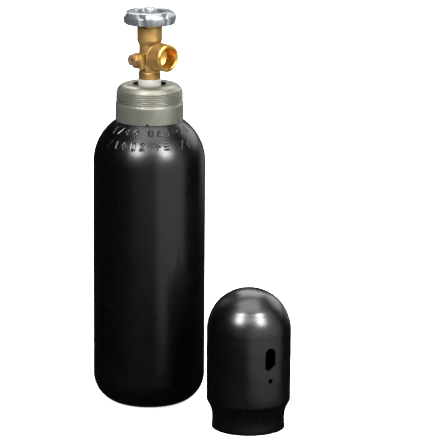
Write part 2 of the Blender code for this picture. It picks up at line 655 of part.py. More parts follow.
def make_wheel_fastening():
    spring_curve = bpy.data.curves.new("handwheel_spring", "CURVE")
    spring_curve.dimensions = "3D"
    spring_curve.bevel_depth = SPRING_WIRE * MM
    spring_curve.bevel_resolution = 1
    spring_curve.use_fill_caps = True
    count = int(SPRING_TURNS * FINE_ROUND) + 1
    spline = spring_curve.splines.new("POLY")
    spline.points.add(count - 1)
    for i, point in enumerate(spline.points):
        share = i / (count - 1)
        angle = share * SPRING_TURNS * math.tau
        height = SPRING_BOTTOM + share * (SPRING_TOP - SPRING_BOTTOM)
        point.co = (SPRING_RADIUS * math.cos(angle) * MM, SPRING_RADIUS * math.sin(angle) * MM, height * MM, 1)
    spring_curve.materials.append(STAINLESS)
    place(add("handwheel_spring", spring_curve, PARTS), STEM_AXIS)

    bore = STEM_THREAD_RADIUS + GAP
    washer = ring("handwheel_washer", bore, WASHER_RADIUS, SPRING_TOP + SPRING_WIRE + GAP, NUT_BOTTOM - GAP,
                  PARTS)
    finish(place(washer, STEM_AXIS), STAINLESS)
    nut = rod("handwheel_nut", NUT_HEX_RADIUS, NUT_BOTTOM, NUT_TOP, PARTS, HEXAGON)
    hole = rod("nut_hole", bore, NUT_BOTTOM - 1, NUT_TOP + 1, CUTTERS)
    place(nut, STEM_AXIS)
    cut(nut, place(hole, STEM_AXIS))
    finish(nut, STAINLESS)


# ---------------------------------------------------------------- protective cap

def make_cap():
    dome = (0, CAP_DOME_HEIGHT)
    inside = CAP_RADIUS - CAP_WALL
    profile = arc(dome, CAP_RADIUS, 90, 0, 8)
    profile += [(CAP_RADIUS - step, height) for step, height in CAP_STEP]
    profile += [(CAP_NECK_RADIUS, height) for height in CAP_NECK]
    profile += [(CAP_RIM_RADIUS, 0), (CAP_THREAD_BORE + CAP_THREAD_CHAMFER, 0),
                (CAP_THREAD_BORE, CAP_THREAD_CHAMFER), (CAP_THREAD_BORE, CAP_BORE_TOP),
                (inside, CAP_INSIDE_BOTTOM)]
    profile += arc(dome, inside, 0, 90, 7)
    cap = lathe("protective_cap", profile, LARGE_ROUND, PARTS, closed=False)
    place(cap, CAP)
    turn = Matrix.Rotation(CAP_SLOT_TURN, 4, "Z")
    cut(cap, place(slot_cutter(), CAP, turn=turn))
    hole = rod("cap_hole", CAP_HOLE_RADIUS, inside - THROUGH, CAP_RADIUS + THROUGH, CUTTERS, FINE_ROUND)
    cut(cap, place(hole, CAP, (0, 0, CAP_HOLE_HEIGHT), turn @ ALONG_OUTLET))
    finish(cap, BLACK_STEEL)


def slot_cutter():
    """Upright slot, round at the top with a V below, right through both walls."""
    half = CAP_SLOT_WIDTH / 2
    low_corner, high_corner = CAP_SLOT_CORNERS
    outline = [(-half, low_corner), (CAP_SLOT_APEX, CAP_SLOT_BOTTOM), (half, high_corner)]
    outline += arc((0, CAP_SLOT_TOP - half), half, 0, 180, 8)
    slot = outline_prism("cap_slots", outline, CAP_RADIUS + THROUGH, CUTTERS)
    slot.data.transform(Matrix.Rotation(math.pi / 2, 4, "Z") @ Matrix.Rotation(math.pi / 2, 4, "X"))
    return slot


# ---------------------------------------------------------------- build

clear_scene()
PARTS = new_collection("gas_cylinder_set")
CUTTERS = new_collection("cutters")

BLACK_STEEL = finish_material("black_painted_steel", (0.012, 0.012, 0.013), 0.35, 0.0)
BARE_STEEL = finish_material("bare_steel", (0.30, 0.29, 0.26), 0.38, 1.0)
BRASS = finish_material("forged_brass", (0.50, 0.33, 0.13), 0.40, 1.0)
STAINLESS = finish_material("stainless_steel", (0.55, 0.55, 0.54), 0.30, 1.0)
CAST_ALUMINIUM = finish_material("cast_aluminium", (0.45, 0.47, 0.48), 0.35, 1.0)
COPPER = finish_material("copper", (0.60, 0.30, 0.18), 0.40, 1.0)
WHITE_TAPE = finish_material("ptfe_tape", (0.80, 0.78, 0.76), 0.60, 0.0)
NYLON = finish_material("nylon", (0.75, 0.73, 0.66), 0.50, 0.0)
BLACK_RUBBER = finish_material("black_rubber", (0.02, 0.02, 0.02), 0.60, 0.0)

CYLINDER = empty("cylinder_axis", (CYLINDER_X, 0, 0))
STEM_AXIS = empty("stem_axis", (0, 0, 0), CYLINDER)
CAP = empty("cap_axis", (CAP_X, CAP_Y, 0))

make_shell()
make_neck_ring()
make_seal_tape()
make_valve_body()
make_safety_parts()
make_bonnet()
make_stem()
make_stem_seals()
make_lower_plug()
make_handwheel()
make_wheel_fastening()
make_cap()
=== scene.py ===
"""Looks for the small black gas cylinder, its brass valve and its loose cap, for Blender 4.5.

Sizes are in millimetres and heights are above the floor unless a comment says otherwise.
"""
import math

import bmesh
import bpy
import numpy as np
from mathutils import Matrix, Vector


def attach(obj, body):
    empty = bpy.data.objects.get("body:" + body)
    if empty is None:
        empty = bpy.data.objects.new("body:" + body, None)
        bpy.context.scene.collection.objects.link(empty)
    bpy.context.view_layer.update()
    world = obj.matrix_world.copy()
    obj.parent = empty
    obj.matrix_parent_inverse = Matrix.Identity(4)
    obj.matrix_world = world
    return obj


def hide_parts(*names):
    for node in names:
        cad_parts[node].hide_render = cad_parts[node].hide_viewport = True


MM = 0.001
SHARP_ANGLE = math.radians(38)
TINY = 1e-6
OVERSHOOT = 1.0                 # how far a cutter, or a shape to be cut, runs past the face
SKIN_VOXEL = 0.34               # cell of the remesh that fuses a forging or a casting
ALONG_OUTLET = Matrix.Rotation(math.pi / 2, 4, "Y")                     # turns +Z to +X
ALONG_SAFETY = Matrix.Rotation(math.pi / 2, 4, "X")                     # turns +Z to -Y
UPRIGHT = Matrix.Rotation(math.pi / 2, 4, "Z") @ ALONG_SAFETY           # turns +Y to +Z, +Z to +X

# Shared dimensions of the set.
CYLINDER_RADIUS = 133.35 / 2
CYLINDER_WALL = 3.2
CAP_RADIUS = 49.5
CAP_WALL = 2.8
PAIR_SPACING = 161.8            # along X
CAP_Y = 10.1
CYLINDER_X = -(PAIR_SPACING + CAP_RADIUS - CYLINDER_RADIUS) / 2
CAP_X = CYLINDER_X + PAIR_SPACING
VIEW_TURN = -43.7               # degrees from +X to the side that faces the camera

# Steel shell.
BASE_CORNER = 34.8
FOOT_WIDTH = 4.0
BASE_RISE = 11.0
BASE_THICKNESS = 7.0
INSIDE_BEND = 0.6               # share of the foot's radius and rise where the base's inside bends
INSIDE_LIFT = 0.6               # the inner corner's lowest point, over BASE_THICKNESS
DISH_STEPS = 8
SHOULDER_START = 294.0
SHOULDER_RADIUS = 60.4
SHOULDER_THICKENING = 5.5
NECK_RADIUS = 19.3
NECK_TOP = 384.0
NECK_FILLET = 3.8
NECK_BORE = 13.9

# Stamped marks on the shoulder. Turns are from the camera's side, in degrees.
MARK_BAND = (58, 17)            # elevations on the shoulder's arc between which rows are close
MARK_BAND_ROWS = 118
MARK_FRONT = (-64.0, 72.0)      # turns between which columns are close
MARK_COLUMN = 0.34              # degrees between close columns
REST_COLUMNS = 150
MARK_HEIGHT = 8.6
MARK_WIDTH = 5.2
MARK_STROKE = 0.75              # half width of a stroke
MARK_DEPTH = 0.65
MARK_LIP = 0.10
MARK_LIP_WIDTH = 0.3
NO_MARK = 99.0                  # a distance that no mark reaches
MARK_ROWS = (
    # elevation on the shoulder's arc, degrees between marks, then each group's start and marks
    (46.0, 12.2, ((-54.0, ("bar", "slash", "cross", "diamond")),
                  (3.0, ("frame", "triangle", "bar", "dash", "slash", "bar")))),
    (28.8, 10.5, ((-49.2, ("slash", "bar", "diamond", "frame", "hourglass")),
                  (11.0, ("cross", "steps")),
                  (41.5, ("slash", "diamond")))),
)

# Neck ring.
RING_RADIUS = 40.5
RING_BOTTOM = 344.2
RING_TOP = 388.0
RING_ROUNDING = 12.0
RING_MOUTH = 19.8
SHADED_MOUTH_REACH = 0.3                # how far over the mouth's radius the painted shade of the bore reaches
RING_LIP = 0.8                  # rounding of the mouth's edge
RING_STEP_ROUNDING = 0.7        # rounding of the flange's upper edge
RING_STEP_DROP = 1.6            # centre of that rounding, under the thread
RING_SEAT_GAP = 0.45            # between the ring's underside and the shoulder
RING_BORE_GAP = 0.3             # between the ring's bore and the neck
RING_RELIEF = (4.2, 3.9)        # width and height of the room left for the neck's fillet
THREAD_RADIUS = 79.4 / 2
THREAD_PITCH = 25.4 / 11
THREAD_DEPTH = 1.4
THREAD_TOP = 381.8
THREAD_BOTTOM = 365.8
THREAD_START = 1.0              # height over which the thread reaches its depth
THREAD_RUNOUT = 1.2             # height over which it fades out
THREAD_ROW = 0.15               # between the mesh rows that carry the thread
THREAD_ELEVATION = 34           # degrees up the ring's rounding where those rows start
RING_NOTCH_RADIUS = 1.4
RING_NOTCH_TURN = -46.0

# Thread tape.
TAPE_LAP = 2.1                  # height between two turns' edges
TAPE_STEP = 0.28                # how far each turn stands out over the one above it
TAPE_SINK = 0.25
TAPE_RIPPLE = 0.06

# Valve body.
INLET_RADIUS = 12.5
INLET_BOTTOM = 366.0
COLLAR_BOTTOM = 394.0
COLLAR_TOP = 401.0
COLLAR_RADIUS = 13.2
COLLAR_FLATS = 23.0
WAIST_RADIUS = 12.35
WAIST_TOP = 434.2
BARREL_BOTTOM = 439.2
BARREL_RADIUS = 14.8
BARREL_TOP = 455.7
OUTLET_HEIGHT = 422.0
OUTLET_RADIUS = 16.35
OUTLET_FACE = 33.5
OUTLET_CHAMFER = 1.8
OUTLET_REAR = 11.5
REAR_SLANT = 4.5                # how far the boss's back edge leans forward at its top
OUTLET_BORE = 12.25             # at the thread's roots
OUTLET_MOUTH = 13.4
OUTLET_FLOOR = 12.8
PASSAGE_RADIUS = 2.3            # from the stem's chamber to the outlet
PASSAGE_HEIGHT = 426.0
PASSAGE_START = 6.6
SAFETY_HEIGHT = 418.8
SAFETY_BLOCK_HALF = 8.0
SAFETY_BLOCK_END = 20.0
SAFETY_BLOCK_DROP = 11.0
SAFETY_BLOCK_RISE = 6.4
SAFETY_TIP_RADIUS = 7.4
SAFETY_FACE = 24.5
SAFETY_BORE = 4.8
SAFETY_FLOOR = 17.0
SAFETY_PASSAGE = 1.4
SAFETY_VENT = 1.7
SAFETY_VENT_MOUTH = 2.7
SAFETY_VENT_FLOOR = 20.4
SAFETY_HEAD_END = 29.4
SAFETY_HEX_RADIUS = 7.1
RIDGE_TURN = -57.0              # degrees, the forging's corner between outlet and safety plug
RIDGE_REACH = 15.4
# Swelling between barrel and outlet boss: radius, and distance along the outlet.
BELLY_SECTION = ((0, 19), (7.5, 18), (12.0, 12), (12.4, 6), (0, 3))
BELLY_DROP = 5.5                # under OUTLET_HEIGHT
# The stem's chamber from the barrel's mouth down, the seat in its floor and the way in from the
# inlet: radius and height.
CHAMBER_SECTION = (
    (10.6, BARREL_TOP), (10.6, 443.7), (8.6, 443.7), (8.6, 421.4), (4.4, 421.4), (4.4, 422.2),
    (1.9, 422.2), (1.9, 416), (3.2, 415), (3.2, INLET_BOTTOM - 2),
)
VALVE_SOFTENING = 3             # rounds of smoothing after the remesh

# Handwheel.
WHEEL_BOTTOM = 459.7
WHEEL_TOP = WHEEL_BOTTOM + 15.5
# Its section: radius, and height over WHEEL_BOTTOM.
WHEEL_SECTION = (
    (0.0, 8.0), (8.6, 8.0), (8.6, 11.9), (10.8, 11.9), (11.4, 8.5), (14.4, 8.5), (15.6, 9.2),
    (17.0, 13.4), (17.9, 14.9), (19.4, 15.5), (22.0, 15.5), (24.4, 15.3), (26.4, 14.9), (28.2, 14.0),
    (29.6, 12.7), (30.6, 11.0), (31.1, 9.2), (31.2, 7.4), (31.0, 5.0), (30.6, 2.8), (30.1, 1.2),
    (29.2, 0.3), (28.0, 0.0), (24.8, 0.0), (23.8, 7.0), (22.0, 9.0), (18.0, 8.6), (15.6, 4.1),
    (14.2, 0.0), (0.0, 0.0),
)
WHEEL_LOBES = 6
WHEEL_NOTCH_TURN = -58.7
# Wedge cut into the rim's upper edge: half width and height of its floor and of its open top.
NOTCH_FLOOR = (2.7, WHEEL_BOTTOM + 8.6)
NOTCH_OPEN = (7.6, WHEEL_BOTTOM + 18.5)
NOTCH_RADIUS = 26.6
NOTCH_LEAD = -3.0               # degrees from the groove below
SCALLOP_RADIUS = 5.5
SCALLOP_DISTANCE = 33.8
WHEEL_SOFTENING = 2             # rounds of smoothing after the remesh
STEM_SQUARE = 5.6
SQUARE_GAP = 0.3
NUT_BOTTOM = WHEEL_TOP
NUT_TOP = NUT_BOTTOM + 2.7
NUT_HEX_RADIUS = 6.35
NUT_HOLE = 3.3
NUT_HOLE_MOUTH = 4.2

# Protective cap.
CAP_DOME_HEIGHT = 117.7
CAP_NECK_RADIUS = 42.5
CAP_RIM_RADIUS = 43.0
CAP_STEP_TOP = 32.5
CAP_STEP_ROUNDING = 5.0
# The step's slope: inwards from the wall, and down from CAP_STEP_TOP.
CAP_STEP_SLOPE = ((2.6, 3.4), (4.4, 7.2), (5.7, 10.6))
CAP_SINK = 0.17                 # keeps the uneven skin inside the CAD's
CAP_THREAD_BORE = 39.2
CAP_THREAD_DEPTH = 0.7
CAP_THREAD_ZONE = (1.6, 18.0)
CAP_BORE_TOP = 19.0
CAP_INSIDE_BOTTOM = 37.0
CAP_SLOT_TURN = -13.0
CAP_SLOT_WIDTH = 13.8
CAP_SLOT_TOP = 105.8
CAP_SLOT_BOTTOM = 78.4
CAP_SLOT_CORNERS = (82.7, 85.6)
CAP_SLOT_APEX = -2.8
CAP_HOLE_RADIUS = 3.0
CAP_HOLE_HEIGHT = 66.5

# Camera and light. Turns are from the camera's side, in degrees; light sizes are in metres.
CAMERA_LENS = 271.2
CAMERA_SENSOR = 36.0
CAMERA_PITCH = 13.2             # degrees that the view looks down
CAMERA_ROLL = 0.4
CAMERA_DISTANCE = 4.0           # metres
AIM_HEIGHT = 219.5
AIM_RIGHT = 87.35               # to the right of the cylinder's axis
KEY_SIZE = (0.95, 1.25)
KEY_RADIANCE = 27
CARD_CENTRE = 0.45              # metres above the floor
RIGHT_CARDS = ((0.35, 0.45), (0.7, 0.25), (1.05, 0.2))      # distance in metres, radiance
WORLD_STRENGTH = 1.5
WORLD_IN_GLOSS = (0.006, 0.006, 0.0063, 1.0)
FLOOR_HALF = 30.0               # metres
FLOOR_GLOW = 0.8


# ---------------------------------------------------------------- mesh helpers

def arc(centre, radius, start, end, steps):
    """Points about a (radius, height) centre, from start to end, in degrees."""
    angles = np.radians(np.linspace(start, end, steps + 1))
    return [(centre[0] + radius * math.cos(a), centre[1] + radius * math.sin(a)) for a in angles]


def resample(profile, step):
    """The same outline with no stretch longer than step."""
    points = [profile[0]]
    for a, b in zip(profile, profile[1:]):
        count = max(1, math.ceil(math.dist(a, b) / step))
        points += [(a[0] + (b[0] - a[0]) * i / count, a[1] + (b[1] - a[1]) * i / count)
                   for i in range(1, count + 1)]
    return points


def add(name, mesh):
    obj = bpy.data.objects.new(name, mesh)
    bpy.context.scene.collection.objects.link(obj)
    return obj


def turned(name, profile, angles, closed=False, relief=None):
    """Turn an outline about Z into a mesh with one column of vertices for each angle, in degrees.

    relief(turn, radius, height) gives the millimetres that each vertex moves outwards.
    """
    outline = np.array(profile, dtype=float)
    turn = np.radians(np.asarray(angles, dtype=float))[:, None]
    following = np.roll(outline, -1, axis=0) - np.roll(outline, 1, axis=0)
    if not closed:
        following[0] = outline[1] - outline[0]
        following[-1] = outline[-1] - outline[-2]
    following /= np.maximum(np.linalg.norm(following, axis=1, keepdims=True), TINY)
    radius = np.repeat(outline[None, :, 0], len(turn), axis=0)
    height = np.repeat(outline[None, :, 1], len(turn), axis=0)
    if relief is not None:
        moved = relief(turn, radius, height)
        radius, height = radius - following[:, 1] * moved, height + following[:, 0] * moved
    grid = np.stack([radius * np.cos(turn), radius * np.sin(turn), height], axis=-1) * MM

    columns, rows = grid.shape[:2]
    index = np.arange(columns * rows).reshape(columns, rows)
    for row in (0, rows - 1):
        if outline[row, 0] < TINY:
            index[:, row] = index[0, row]
    across = np.roll(index, -1, axis=0)
    down, down_across = np.roll(index, -1, axis=1), np.roll(across, -1, axis=1)
    corners = np.stack([index, down, down_across, across], axis=-1)
    if not closed:
        corners = corners[:, :-1]
    faces = []
    for face in corners.reshape(-1, 4).tolist():
        kept = list(dict.fromkeys(face))
        if len(kept) > 2:
            faces.append(kept)
    mesh = bpy.data.meshes.new(name)
    mesh.from_pydata(grid.reshape(-1, 3).tolist(), [], faces)
    shape = bmesh.new()
    shape.from_mesh(mesh)
    bmesh.ops.delete(shape, geom=[v for v in shape.verts if not v.link_faces], context="VERTS")
    bmesh.ops.recalc_face_normals(shape, faces=shape.faces)
    shape.to_mesh(mesh)
    shape.free()
    return add(name, mesh)


def around(count):
    """Turns of so many even columns, in degrees."""
    return np.arange(count) * 360.0 / count


def rod(name, radius, bottom, top, count=64):
    """A closed cylinder about Z, or a hexagon where count is 6."""
    return turned(name, [(0, top), (radius, top), (radius, bottom), (0, bottom)], around(count))


def block(name, low, high):
    """A box between two opposite corners."""
    low, high = Vector(low) * MM, Vector(high) * MM
    shape = bmesh.new()
    bmesh.ops.create_cube(shape, size=1.0)
    shape.transform(Matrix.Translation((low + high) / 2) @ Matrix.Diagonal((*(high - low), 1.0)))
    mesh = bpy.data.meshes.new(name)
    shape.to_mesh(mesh)
    shape.free()
    return add(name, mesh)


def prism(name, outline, bottom, top):
    """A flat outline of (x, y) points, filled and raised along Z."""
    shape = bmesh.new()
    foot = [shape.verts.new((x * MM, y * MM, bottom * MM)) for x, y in outline]
    face = shape.faces.new(foot)
    raised = bmesh.ops.extrude_face_region(shape, geom=[face])["geom"]
    lift = Vector((0, 0, (top - bottom) * MM))
    corners = [part for part in raised if isinstance(part, bmesh.types.BMVert)]
    bmesh.ops.translate(shape, verts=corners, vec=lift)
    bmesh.ops.recalc_face_normals(shape, faces=shape.faces)
    mesh = bpy.data.meshes.new(name)
    shape.to_mesh(mesh)
    shape.free()
    return add(name, mesh)


def move(obj, location=(0, 0, 0), rotation=None):
    """Move the mesh itself, so that every piece keeps its origin at the frame's."""
    obj.data.transform(Matrix.Translation(Vector(location) * MM) @ (rotation or Matrix.Identity(4)))
    return obj


def about_z(degrees):
    return Matrix.Rotation(math.radians(degrees), 4, "Z")


def join(name, pieces):
    """Several closed shapes as one mesh, for a remesh to fuse."""
    shape = bmesh.new()
    for piece in pieces:
        shape.from_mesh(piece.data)
        bpy.data.objects.remove(piece, do_unlink=True)
    mesh = bpy.data.meshes.new(name)
    shape.to_mesh(mesh)
    shape.free()
    return add(name, mesh)


def apply_modifiers(obj):
    """Keep the mesh that the modifiers give."""
    bpy.context.view_layer.update()
    evaluated = obj.evaluated_get(bpy.context.evaluated_depsgraph_get())
    mesh = bpy.data.meshes.new_from_object(evaluated)
    obj.modifiers.clear()
    obj.data = mesh
    return obj


def remesh(obj, voxel, rounds):
    """Fuse overlapping shapes into one skin and soften its corners."""
    fuse = obj.modifiers.new("fuse", "REMESH")
    fuse.mode = "VOXEL"
    fuse.voxel_size = voxel * MM
    soften = obj.modifiers.new("soften", "SMOOTH")
    soften.factor = 0.5
    soften.iterations = rounds
    return apply_modifiers(obj)


def cut(obj, cutters):
    """Cut shapes away; the cut faces take the cutter's material."""
    for cutter in cutters:
        modifier = obj.modifiers.new(cutter.name, "BOOLEAN")
        modifier.operation = "DIFFERENCE"
        modifier.solver = "EXACT"
        modifier.material_mode = "TRANSFER"
        modifier.object = cutter
    apply_modifiers(obj)
    for cutter in cutters:
        bpy.data.objects.remove(cutter, do_unlink=True)
    return obj


def coat(obj, material):
    """Give the whole mesh one material."""
    obj.data.materials.clear()
    obj.data.materials.append(material)
    return obj


def finish(obj, body, node, axis=(CYLINDER_X, 0, 0)):
    """Shade the piece, set it on its axis and let it stand for its CAD node."""
    move(obj, axis)
    obj.data.shade_smooth()
    obj.data.set_sharp_from_angle(angle=SHARP_ANGLE)
    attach(obj, body)
    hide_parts(node)
    return obj


# ---------------------------------------------------------------- material helpers

class Nodes:
    """A material's node tree, with short calls for the nodes that the finishes share."""

    def __init__(self, name):
        self.material = bpy.data.materials.new(name)
        self.material.use_nodes = True
        self.tree = self.material.node_tree
        self.shader = self.tree.nodes["Principled BSDF"]
        self.place = self.node("ShaderNodeTexCoord").outputs["Object"]

    def node(self, kind, **settings):
        made = self.tree.nodes.new(kind)
        for key, value in settings.items():
            setattr(made, key, value)
        return made

    def link(self, source, target):
        if isinstance(source, bpy.types.NodeSocket):
            self.tree.links.new(source, target)
        else:
            target.default_value = source
        return target

    def set(self, **values):
        """Feed the shader's sockets with outputs or constants; _ stands for a space in a name."""
        for key, value in values.items():
            self.link(value, self.shader.inputs[key.replace("_", " ")])

    def noise(self, scale, detail=3.0, rough=0.55, stretch=None, warp=0.0):
        """Noise from 0 to 1 with features of 1/scale metres; stretch scales each axis."""
        place = self.place
        if stretch:
            mapping = self.node("ShaderNodeMapping")
            self.link(place, mapping.inputs["Vector"])
            mapping.inputs["Scale"].default_value = stretch
            place = mapping.outputs["Vector"]
        made = self.node("ShaderNodeTexNoise")
        self.link(place, made.inputs["Vector"])
        made.inputs["Scale"].default_value = scale
        made.inputs["Detail"].default_value = detail
        made.inputs["Roughness"].default_value = rough
        made.inputs["Distortion"].default_value = warp
        return made.outputs["Fac"]

    def cells(self, scale):
        made = self.node("ShaderNodeTexVoronoi", feature="F1")
        self.link(self.place, made.inputs["Vector"])
        made.inputs["Scale"].default_value = scale
        return made.outputs["Distance"]

    def math(self, operation, a, b):
        made = self.node("ShaderNodeMath", operation=operation)
        self.link(a, made.inputs[0])
        self.link(b, made.inputs[1])
        return made.outputs[0]

    def span(self, value, low, high, to_low=0.0, to_high=1.0):
        """Value from low..high, held at the ends, as to_low..to_high."""
        made = self.node("ShaderNodeMapRange")
        for key, number in (("Value", value), ("From Min", low), ("From Max", high),
                            ("To Min", to_low), ("To Max", to_high)):
            self.link(number, made.inputs[key])
        return made.outputs["Result"]

    def blend(self, factor, a, b):
        made = self.node("ShaderNodeMix", data_type="RGBA")
        self.link(factor, made.inputs[0])
        for socket, value in ((made.inputs[6], a), (made.inputs[7], b)):
            self.link(value if isinstance(value, bpy.types.NodeSocket) else (*value, 1.0), socket)
        return made.outputs[2]

    def edges(self):
        """1 along outer edges, 0 in corners, 0.5 on flats."""
        return self.node("ShaderNodeNewGeometry").outputs["Pointiness"]

    def bump(self, height, distance, under=None):
        """Relief of distance millimetres, over an earlier relief."""
        made = self.node("ShaderNodeBump")
        made.inputs["Strength"].default_value = 1.0
        made.inputs["Distance"].default_value = distance * MM
        self.link(height, made.inputs["Height"])
        if under is not None:
            self.link(under, made.inputs["Normal"])
        return made.outputs["Normal"]


# ---------------------------------------------------------------- finishes

def black_paint(name, gloss):
    """Satin black enamel: orange peel, a fine grain in the highlights, faint scuffs and dust."""
    m = Nodes(name)
    tone = m.noise(14.0, 4.0)
    dust = m.span(m.noise(900.0, 2.0, 0.6), 0.68, 0.80)
    scuff = m.span(m.noise(60.0, 6.0, 0.7, (1.0, 1.0, 0.12), 0.6), 0.64, 0.74)
    base = m.blend(m.span(tone, 0.35, 0.65), (0.0002, 0.0002, 0.0003), (0.0005, 0.0005, 0.0006))
    base = m.blend(m.math("MULTIPLY", dust, 0.10), base, (0.01, 0.01, 0.011))
    base = m.blend(m.math("MULTIPLY", scuff, 0.06), base, (0.02, 0.02, 0.021))
    base = m.blend(m.span(m.edges(), 0.58, 0.68, 0.0, 0.25), base, (0.05, 0.05, 0.05))
    rough = m.span(m.noise(35.0, 5.0, 0.6), 0.3, 0.7, 0.25, 0.32)
    rough = m.math("ADD", rough, m.math("MULTIPLY", scuff, 0.08))
    steel_waves = m.bump(m.noise(45.0, 2.0), 0.10)
    peel = m.bump(m.noise(420.0, 1.0, 0.4), 0.045, under=steel_waves)
    grain = m.bump(m.noise(1800.0, 2.0, 0.5), 0.03, under=peel)
    m.set(Base_Color=base, Roughness=rough, Normal=grain, Specular_IOR_Level=gloss,
          Coat_Weight=0.15, Coat_Roughness=0.26)
    return m.material


def turned_steel():
    """Bare turned steel: fine tool lines round the ring, warm oil stains, handling marks, a painted
    highlight along its outer edges and painted shade in its corners.
    """
    m = Nodes("turned_bare_steel")
    lines = m.noise(9.0, 5.0, 0.75, (1.0, 1.0, 420.0))
    blotch = m.noise(55.0, 5.0, 0.6)
    base = m.blend(m.span(blotch, 0.35, 0.7), (0.255, 0.255, 0.220), (0.185, 0.184, 0.150))
    base = m.blend(m.span(lines, 0.3, 0.7, 0.0, 0.25), base, (0.32, 0.31, 0.275))
    stain = m.span(m.noise(120.0, 4.0, 0.7), 0.62, 0.72, 0.0, 0.5)
    base = m.blend(stain, base, (0.10, 0.078, 0.052))
    # Painted highlight: the outer edges lighter.
    base = m.blend(m.span(m.edges(), 0.53, 0.62, 0.0, 0.4), base, (0.36, 0.35, 0.32))
    # Painted shade: the corners and thread roots darker.
    base = m.blend(m.span(m.edges(), 0.48, 0.42, 0.0, 0.6), base, (0.06, 0.052, 0.04))
    rough = m.span(blotch, 0.3, 0.7, 0.31, 0.41)
    relief = m.bump(lines, 0.008)
    relief = m.bump(m.noise(1400.0, 2.0), 0.010, under=relief)
    tangent = m.node("ShaderNodeTangent", direction_type="RADIAL", axis="Z").outputs["Tangent"]
    m.set(Base_Color=base, Roughness=rough, Normal=relief, Metallic=0.85, Anisotropic=0.45,
          Tangent=tangent)
    return m.material


def forged_brass():
    """Dull forged brass: sandy die grain, brown tarnish, corners darker as partly patina and partly
    painted shade, edges brighter as partly rubbed wear and partly painted highlight.
    """
    m = Nodes("forged_brass")
    mottle = m.noise(160.0, 5.0, 0.65)
    base = m.blend(m.span(mottle, 0.35, 0.68), (0.335, 0.197, 0.062), (0.445, 0.279, 0.097))
    tarnish = m.span(m.noise(70.0, 4.0, 0.6, warp=0.5), 0.52, 0.72, 0.0, 0.55)
    base = m.blend(tarnish, base, (0.26, 0.15, 0.055))
    # Corners darker: partly patina, partly painted shade.
    base = m.blend(m.span(m.edges(), 0.485, 0.42, 0.0, 0.75), base, (0.13, 0.07, 0.022))
    # Outer edges lighter: partly rubbed wear, partly painted highlight.
    base = m.blend(m.span(m.edges(), 0.53, 0.62, 0.0, 0.6), base, (0.80, 0.56, 0.25))
    rough = m.span(m.noise(300.0, 4.0), 0.3, 0.7, 0.42, 0.56)
    relief = m.bump(m.noise(700.0, 3.0, 0.6), 0.05)
    relief = m.bump(m.cells(1500.0), 0.03, under=relief)
    m.set(Base_Color=base, Roughness=rough, Normal=relief, Metallic=0.86)
    return m.material


def machined_brass(name, low, high):
    """Freshly cut brass at the outlet, with tool rings and darker stains."""
    m = Nodes(name)
    rings = m.noise(10.0, 4.0, 0.7, (300.0, 1.0, 1.0))
    base = m.blend(m.span(rings, 0.3, 0.7), low, high)
    base = m.blend(m.span(m.noise(140.0, 3.0), 0.50, 0.66, 0.0, 0.7), base, (0.34, 0.15, 0.02))
    rough = m.span(m.noise(300.0, 3.0), 0.3, 0.7, 0.28, 0.34)
    m.set(Base_Color=base, Roughness=rough, Normal=m.bump(rings, 0.002), Metallic=0.94)
    return m.material


def cast_aluminium():
    """Die-cast aluminium, tumbled to a soft shine: casting grain, painted shade grey in its corners and
    a painted highlight along its edges.
    """
    m = Nodes("cast_aluminium")
    mottle = m.noise(180.0, 5.0, 0.6)
    base = m.blend(m.span(mottle, 0.35, 0.7), (0.265, 0.282, 0.292), (0.34, 0.358, 0.368))
    # Painted shade: the corners greyer.
    base = m.blend(m.span(m.edges(), 0.48, 0.40, 0.0, 0.65), base, (0.09, 0.095, 0.10))
    # Painted highlight: the outer edges lighter.
    base = m.blend(m.span(m.edges(), 0.54, 0.64, 0.0, 0.7), base, (0.58, 0.60, 0.61))
    rough = m.span(m.noise(260.0, 4.0), 0.3, 0.7, 0.30, 0.38)
    relief = m.bump(m.noise(500.0, 2.0, 0.5), 0.012)
    relief = m.bump(m.noise(2200.0, 2.0), 0.006, under=relief)
    m.set(Base_Color=base, Roughness=rough, Normal=relief, Metallic=0.9)
    return m.material


def plated_steel(name, low, high, rough_low, rough_high, metallic=1.0):
    """Small metal parts: brushed grain, tone variation and edges painted brighter as a painted
    highlight.
    """
    m = Nodes(name)
    base = m.blend(m.span(m.noise(260.0, 5.0, 0.6), 0.35, 0.7), low, high)
    # Painted highlight: a lighter colour along the outer edges.
    edge_highlight = tuple(min(1.0, c * 1.35) for c in high)
    base = m.blend(m.span(m.edges(), 0.53, 0.62, 0.0, 0.7), base, edge_highlight)
    rough = m.span(m.noise(700.0, 4.0), 0.3, 0.7, rough_low, rough_high)
    relief = m.bump(m.noise(1800.0, 3.0), 0.015)
    m.set(Base_Color=base, Roughness=rough, Normal=relief, Metallic=metallic)
    return m.material


def wound_tape():
    """White thread tape: stretched film, creases and grey grime on its folds."""
    m = Nodes("wound_ptfe_tape")
    creases = m.noise(24.0, 5.0, 0.7, (1.0, 1.0, 60.0), 0.3)
    fold = m.noise(500.0, 3.0, 0.6)
    base = m.blend(m.span(creases, 0.3, 0.72), (0.22, 0.212, 0.20), (0.34, 0.33, 0.315))
    base = m.blend(m.span(fold, 0.60, 0.75, 0.0, 0.4), base, (0.16, 0.145, 0.135))
    relief = m.bump(creases, 0.12)
    relief = m.bump(fold, 0.05, under=relief)
    m.set(Base_Color=base, Roughness=m.span(fold, 0.3, 0.7, 0.42, 0.6), Normal=relief,
          Subsurface_Weight=0.15, Subsurface_Scale=0.0008)
    return m.material


def soft_part(name, low, high, rough):
    """Seals and washers inside the valve: moulded grain and tone variation."""
    m = Nodes(name)
    grain = m.noise(900.0, 3.0, 0.6)
    m.set(Base_Color=m.blend(m.span(m.noise(200.0, 4.0), 0.3, 0.7), low, high),
          Roughness=m.span(grain, 0.3, 0.7, rough - 0.08, rough + 0.08), Normal=m.bump(grain, 0.02))
    return m.material


# ---------------------------------------------------------------- steel shell

